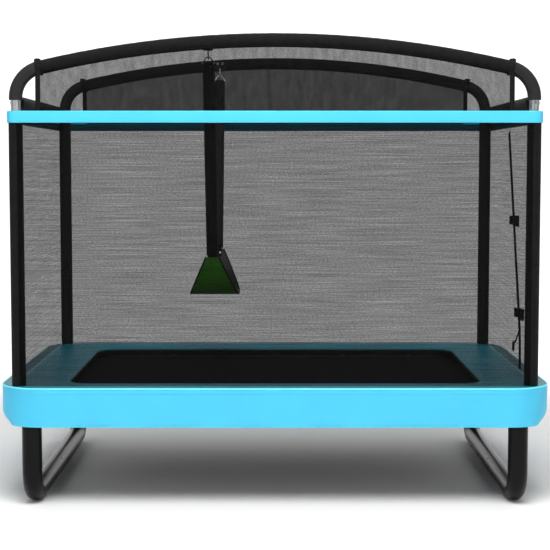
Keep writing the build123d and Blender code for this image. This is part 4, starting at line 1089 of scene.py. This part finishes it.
def make_door(settings):
    """The zip, its tape and teeth, the buckle straps and the tie on the right-hand net."""
    face = tape_low.x
    out = ACROSS_BED
    line = [Vector((face + 0.35 * MM, p.x, p.y)) for p in zip_line()]
    across = []
    for i in range(len(line)):
        step = (line[min(i + 1, len(line) - 1)] - line[max(i - 1, 0)]).normalized()
        across.append(out.cross(step))
    tape = strap("zip_tape", line, across, settings.zip_tape_width, 0.7 * MM, 0.2 * MM)
    dress(tape, look["webbing"], "frame", 50, ["zipper_tape"])
    folds = []
    for side in (-1, 1):
        rim = [p + w * side * 14.5 * MM + out * 1.2 * MM for p, w in zip(line, across)]
        folds.append(strap("fold", rim, across, 7 * MM, 2.4 * MM, 0.9 * MM))
    dress(joined("zip_tape_folds", folds), look["webbing"], "frame", 50)
    points, faces = [], []
    for index, (point, step) in enumerate(along_loop(line, 3.6 * MM)):
        if (point - line[-1]).length < 0.004 or step.z > 0:
            break
        wide = out.cross(step)
        base = len(points)
        shift = 0.6 * MM * (1 if index % 2 else -1)
        for h in (0.3, 1.2):
            for a, w in ((-1, -1), (1, -1), (1, 1), (-1, 1)):
                taper = 1.0 if h < 1 else 0.7
                sideways = wide * (w * 2.2 * MM * taper + shift)
                points.append(point + out * h * MM + step * a * 1.2 * MM * taper + sideways)
        for f in ((0, 3, 2, 1), (4, 5, 6, 7), (0, 1, 5, 4), (1, 2, 6, 5), (2, 3, 7, 6), (3, 0, 4, 7)):
            faces.append(tuple(base + k for k in f))
    teeth = new_mesh("zip_teeth", points, faces)
    dress(teeth, look["acetal"], "frame", 30)

    def door_strap(name, path, y, z):
        """Buckle webbing along (distance from the buckle, height over the net) pairs in millimetres."""
        line = [Vector((face + lift * MM, y + away * MM, z)) for away, lift in path]
        return strap(name, line, UP, settings.door_strap_width, 1.4 * MM)

    straps = []
    for y, z in BUCKLES.values():
        rise = [(-90, 0.8), (-80, 0.8), (-66, 0.8), (-58, 1.4), (-50, 5.6), (-42, 10.8),
                (-36, 12.3), (-29, 12.3)]
        straps.append(door_strap("socket_strap", rise, y, z))
        straps.append(door_strap("anchor_strap", [(90, 0.8), (80, 0.8), (66, 0.8)], y, z))
    path = [Vector((face + 1.0 * MM, y, z)) for y, z in TIE_POINTS]
    across = [out.cross((path[min(i + 1, 7)] - path[max(i - 1, 0)]).normalized()) for i in range(8)]
    straps.append(strap("tie", path, across, 12 * MM, 1.5 * MM))
    dress(joined("door_webbing", straps), look["webbing"], "frame", 50, ["door_straps"])
    for name, (y, z) in BUCKLES.items():
        rise = [(88, 1.6), (80, 1.6), (68, 2.0), (58, 5.0), (48, 10.0), (40, 12.3), (34, 12.3), (29, 12.3)]
        band = door_strap(f"plug_webbing_{name}", rise, y, z)
        dress(band, look["webbing"], None, 50)
        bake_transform(band)
    rows = []
    for y, z in BUCKLES.values():
        for dy in (-88, -70, 70, 88):
            for k in range(-3, 4):
                lift = 1.6 * MM if dy < 0 else 2.4 * MM
                rows.append((Vector((face + lift, y + dy * MM, z + k * 4.4 * MM)), UP, out))
    sewn = stitches("door_stitches", rows, 3.4 * MM, 1.1 * MM, 0.5 * MM)
    dress(sewn, look["black_thread"], "frame", 60)
    bpy.ops.object.select_all(action="DESELECT")
    at = (face + 4.8 * MM, -0.032, 0.482)
    bpy.ops.mesh.primitive_cylinder_add(vertices=24, radius=0.013, depth=0.034, location=at)
    toggle = bpy.context.active_object
    toggle.scale = (0.36, 1, 1)
    only(toggle)
    bpy.ops.object.transform_apply(location=True, rotation=True, scale=True)
    rounding = toggle.modifiers.new("rounding", "BEVEL")
    rounding.width = 0.003
    rounding.segments = 3
    rounding.limit_method = "ANGLE"
    bpy.ops.object.modifier_apply(modifier="rounding")
    dress(toggle, look["acetal"], "frame", 60)


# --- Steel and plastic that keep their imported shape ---


def finish_hardware():
    """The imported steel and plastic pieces, each in its own finish."""
    finishes = {
        "leg_button": "zinc", "leg_": "legs", "frame_bolts": "zinc", "frame_": "frame",
        "corner_tube": "corner",
        "arch_tube": "zinc", "side_bar": "frame", "pole_": "zinc", "swing_hangers": "frame",
        "swing_hooks": "zinc",
        "hook_gate": "zinc", "zipper_slider": "zinc", "zipper_pull": "acetal", "buckle_": "acetal",
    }
    for name, node in frame["nodes"].items():
        for start, finish in finishes.items():
            if name.startswith(start):
                node.data.materials.clear()
                node.data.materials.append(look[finish])
                break


# --- Stage ---


def make_stage(settings):
    """Pale floor that curves up behind, soft lights over it, and the camera."""
    bpy.ops.object.select_all(action="DESELECT")
    profile = [(-9.0, 0.0), (4.0, 0.0)]
    for k in range(1, 17):
        a = math.radians(90 * k / 16)
        profile.append((4.0 + 3.0 * math.sin(a), 3.0 - 3.0 * math.cos(a)))
    profile.append((7.0, 9.0))
    rings = [[Vector((x, y, z)) for x in (-14, -5, 5, 14)] for y, z in profile]
    floor = loft("studio_floor", rings, ring_closed=False)
    material, shader, place = start_material(
        "matt_white_paper", "Object", Roughness=0.9, Specular_IOR_Level=0.1
    )
    shader["Base Color"].default_value = linear("#F4F4F4")
    shader["Emission Color"].default_value = linear("#FFFFFF")
    depth = add_node(material, "ShaderNodeSeparateXYZ", Vector=place)["Y"]
    add_node(
        material, "ShaderNodeMapRange", {"interpolation_type": "SMOOTHSTEP"}, shader["Emission Strength"],
        Value=depth, i1=0.9, i2=3.2, i3=0.0, i4=settings.floor_glow,
    )
    only(floor)
    bpy.ops.object.shade_smooth()
    floor.data.materials.append(material)

    world = bpy.data.worlds.new("studio")
    bpy.context.scene.world = world
    world.use_nodes = True
    world.node_tree.nodes["Background"].inputs[0].default_value = (1, 1, 1, 1)
    world.node_tree.nodes["Background"].inputs[1].default_value = settings.room_light
    for name, place, aim, size, power in (
        ("overhead", (0.0, -2.6, 4.6), (0, 0.2, 0.3), 3.0, settings.overhead_power),
        ("front_left", (-3.6, -5.0, 2.6), (0, 0, 0.7), 2.6, settings.front_power),
        ("front_right", (3.6, -5.0, 2.6), (0, 0, 0.7), 2.6, settings.front_power),
    ):
        bpy.ops.object.select_all(action="DESELECT")
        bpy.ops.object.light_add(type="AREA", location=place)
        lamp = bpy.context.active_object
        lamp.name = name
        lamp.data.shape = "DISK"
        lamp.data.size = size
        lamp.data.energy = power
        lamp.rotation_euler = (Vector(aim) - Vector(place)).to_track_quat("-Z", "Y").to_euler()

    bpy.ops.object.select_all(action="DESELECT")
    bpy.ops.object.camera_add(
        location=settings.camera_place, rotation=(math.radians(settings.camera_tilt), 0, 0)
    )
    camera = bpy.context.active_object
    camera.data.lens = settings.camera_lens
    camera.data.sensor_width = 36
    bpy.context.scene.camera = camera
    bpy.context.scene.view_settings.view_transform = "Standard"


# --- Panel and operators ---


class StageSettings(bpy.types.PropertyGroup):
    camera_place: bpy.props.FloatVectorProperty(
        name="Camera place", description="Where the camera stands", default=(0.0, -5.4678, 1.1711),
        unit="LENGTH",
    )
    camera_tilt: bpy.props.FloatProperty(
        name="Camera tilt", description="Turn up from straight down, in degrees", default=85.6
    )
    camera_lens: bpy.props.FloatProperty(
        name="Lens", description="Focal length in millimetres", default=93.91
    )
    room_light: bpy.props.FloatProperty(
        name="Room light", description="Strength of the even white room", default=0.42
    )
    overhead_power: bpy.props.FloatProperty(
        name="Overhead", description="Power of the overhead light, in watts", default=235.0
    )
    front_power: bpy.props.FloatProperty(
        name="Front", description="Power of each front light, in watts", default=16.0
    )
    floor_glow: bpy.props.FloatProperty(
        name="Floor glow", description="Light the far floor gives of itself, so that it stays pale",
        default=0.5,
    )


class PieceSettings(bpy.types.PropertyGroup):
    cloth_blue: bpy.props.FloatVectorProperty(
        name="Cloth blue", description="Blue of the skirt and the band", subtype="COLOR", size=4,
        min=0.0, max=1.0, default=linear("#50CAF0"),
    )
    # The pad's top and the band's inside face are painted in this darker blue as painted shade.
    pad_painted_shade: bpy.props.FloatVectorProperty(
        name="Pad painted shade", description="Darker blue of the pad's top and the band's inside", subtype="COLOR",
        size=4,
        min=0.0, max=1.0, default=linear("#0C7D91"),
    )
    seat_green: bpy.props.FloatVectorProperty(
        name="Seat green", description="Green of the belt seat", subtype="COLOR", size=4,
        min=0.0, max=1.0, default=linear("#4F9F1B"),
    )
    stitch_pitch: bpy.props.FloatProperty(
        name="Stitch pitch", description="From one stitch of the pad and band to the next", unit="LENGTH",
        min=0.004, default=0.009,
    )
    welt_radius: bpy.props.FloatProperty(
        name="Welt", description="Radius of the welt round the pad's rim", unit="LENGTH", min=0.001,
        default=0.003,
    )
    hem_width: bpy.props.FloatProperty(
        name="Hem strap", description="Width of the straps that end the upper nets", unit="LENGTH",
        min=0.005, default=0.017,
    )
    swing_webbing_width: bpy.props.FloatProperty(
        name="Swing webbing", description="Width of the webbing inside the swing's sleeves", unit="LENGTH",
        min=0.010, default=0.030,
    )
    zip_tape_width: bpy.props.FloatProperty(
        name="Zip tape", description="Width of the zip's tape on the net", unit="LENGTH", min=0.020,
        default=0.036,
    )
    door_strap_width: bpy.props.FloatProperty(
        name="Door straps", description="Width of the buckles' webbing", unit="LENGTH", min=0.015,
        default=0.034,
    )


class TRAMPOLINE_OT_finishes(bpy.types.Operator):
    """Make every finish of the object"""

    bl_idname = "trampoline.finishes"
    bl_label = "Mix finishes"

    def execute(self, context):
        mix_materials(context.scene.trampoline_pieces)
        return {"FINISHED"}


class TRAMPOLINE_OT_stage(bpy.types.Operator):
    """Add the floor, lights and camera"""

    bl_idname = "trampoline.stage"
    bl_label = "Set stage"

    def execute(self, context):
        make_stage(context.scene.trampoline_stage)
        return {"FINISHED"}


class TRAMPOLINE_OT_hardware(bpy.types.Operator):
    """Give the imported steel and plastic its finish"""

    bl_idname = "trampoline.hardware"
    bl_label = "Finish hardware"

    def execute(self, context):
        finish_hardware()
        return {"FINISHED"}


class TRAMPOLINE_OT_pad(bpy.types.Operator):
    """Make the safety pad and skirt, with its welt and stitches"""

    bl_idname = "trampoline.pad"
    bl_label = "Sew pad"

    def execute(self, context):
        make_pad(context.scene.trampoline_pieces)
        return {"FINISHED"}


class TRAMPOLINE_OT_mat(bpy.types.Operator):
    """Make the jump mat and its hem"""

    bl_idname = "trampoline.mat"
    bl_label = "Stretch mat"

    def execute(self, context):
        make_mat()
        return {"FINISHED"}


class TRAMPOLINE_OT_springs(bpy.types.Operator):
    """Make the rings and springs"""

    bl_idname = "trampoline.springs"
    bl_label = "Hook springs"

    def execute(self, context):
        make_rings_and_springs()
        return {"FINISHED"}


class TRAMPOLINE_OT_nets(bpy.types.Operator):
    """Make the lower net panels"""

    bl_idname = "trampoline.nets"
    bl_label = "Hang nets"

    def execute(self, context):
        make_nets()
        return {"FINISHED"}


class TRAMPOLINE_OT_pockets(bpy.types.Operator):
    """Make the net's pockets round the poles"""

    bl_idname = "trampoline.pockets"
    bl_label = "Sew pole pockets"

    def execute(self, context):
        make_net_pockets()
        return {"FINISHED"}


class TRAMPOLINE_OT_upper_nets(bpy.types.Operator):
    """Make the nets under the arches"""

    bl_idname = "trampoline.upper_nets"
    bl_label = "Hang upper nets"

    def execute(self, context):
        make_upper_nets()
        return {"FINISHED"}


class TRAMPOLINE_OT_band(bpy.types.Operator):
    """Make the band round the poles"""

    bl_idname = "trampoline.band"
    bl_label = "Sew band"

    def execute(self, context):
        make_band(context.scene.trampoline_pieces)
        return {"FINISHED"}


class TRAMPOLINE_OT_foams(bpy.types.Operator):
    """Make the foam sleeves of poles and side bars"""

    bl_idname = "trampoline.foams"
    bl_label = "Slip on foams"

    def execute(self, context):
        make_foams()
        return {"FINISHED"}


class TRAMPOLINE_OT_arch_sleeves(bpy.types.Operator):
    """Make the arch sleeves"""

    bl_idname = "trampoline.arch_sleeves"
    bl_label = "Cover arches"

    def execute(self, context):
        make_arch_sleeves()
        return {"FINISHED"}


class TRAMPOLINE_OT_hem_straps(bpy.types.Operator):
    """Make the straps that end the upper nets"""

    bl_idname = "trampoline.hem_straps"
    bl_label = "Sew hem straps"

    def execute(self, context):
        make_hem_straps(context.scene.trampoline_pieces)
        return {"FINISHED"}


class TRAMPOLINE_OT_swing(bpy.types.Operator):
    """Make the swing's links, straps and seat"""

    bl_idname = "trampoline.swing"
    bl_label = "Hang swing"

    def execute(self, context):
        make_swing(context.scene.trampoline_pieces)
        return {"FINISHED"}


class TRAMPOLINE_OT_door(bpy.types.Operator):
    """Make the zip, its straps and the tie"""

    bl_idname = "trampoline.door"
    bl_label = "Fit door"

    def execute(self, context):
        make_door(context.scene.trampoline_pieces)
        return {"FINISHED"}


OPERATORS = (
    TRAMPOLINE_OT_finishes,
    TRAMPOLINE_OT_stage,
    TRAMPOLINE_OT_hardware,
    TRAMPOLINE_OT_pad,
    TRAMPOLINE_OT_mat,
    TRAMPOLINE_OT_springs,
    TRAMPOLINE_OT_nets,
    TRAMPOLINE_OT_pockets,
    TRAMPOLINE_OT_upper_nets,
    TRAMPOLINE_OT_band,
    TRAMPOLINE_OT_foams,
    TRAMPOLINE_OT_arch_sleeves,
    TRAMPOLINE_OT_hem_straps,
    TRAMPOLINE_OT_swing,
    TRAMPOLINE_OT_door,
)


class TRAMPOLINE_PT_panel(bpy.types.Panel):
    """The steps that dress the trampoline"""

    bl_label = "Trampoline"
    bl_idname = "TRAMPOLINE_PT_panel"
    bl_space_type = "VIEW_3D"
    bl_region_type = "UI"
    bl_category = "Trampoline"

    def draw(self, context):
        for group in (context.scene.trampoline_pieces, context.scene.trampoline_stage):
            for name in group.__annotations__:
                self.layout.prop(group, name)
        for operator in OPERATORS:
            self.layout.operator(operator.bl_idname)


CLASSES = (StageSettings, PieceSettings, *OPERATORS, TRAMPOLINE_PT_panel)


def register():
    for cls in CLASSES:
        bpy.utils.register_class(cls)
    bpy.types.Scene.trampoline_stage = bpy.props.PointerProperty(type=StageSettings)
    bpy.types.Scene.trampoline_pieces = bpy.props.PointerProperty(type=PieceSettings)


def unregister():
    del bpy.types.Scene.trampoline_stage
    del bpy.types.Scene.trampoline_pieces
    for cls in reversed(CLASSES):
        bpy.utils.unregister_class(cls)


def main():
    register()
    for operator in OPERATORS:
        getattr(bpy.ops.trampoline, operator.bl_idname.split(".")[1])()


if __name__ == "__main__":
    main()
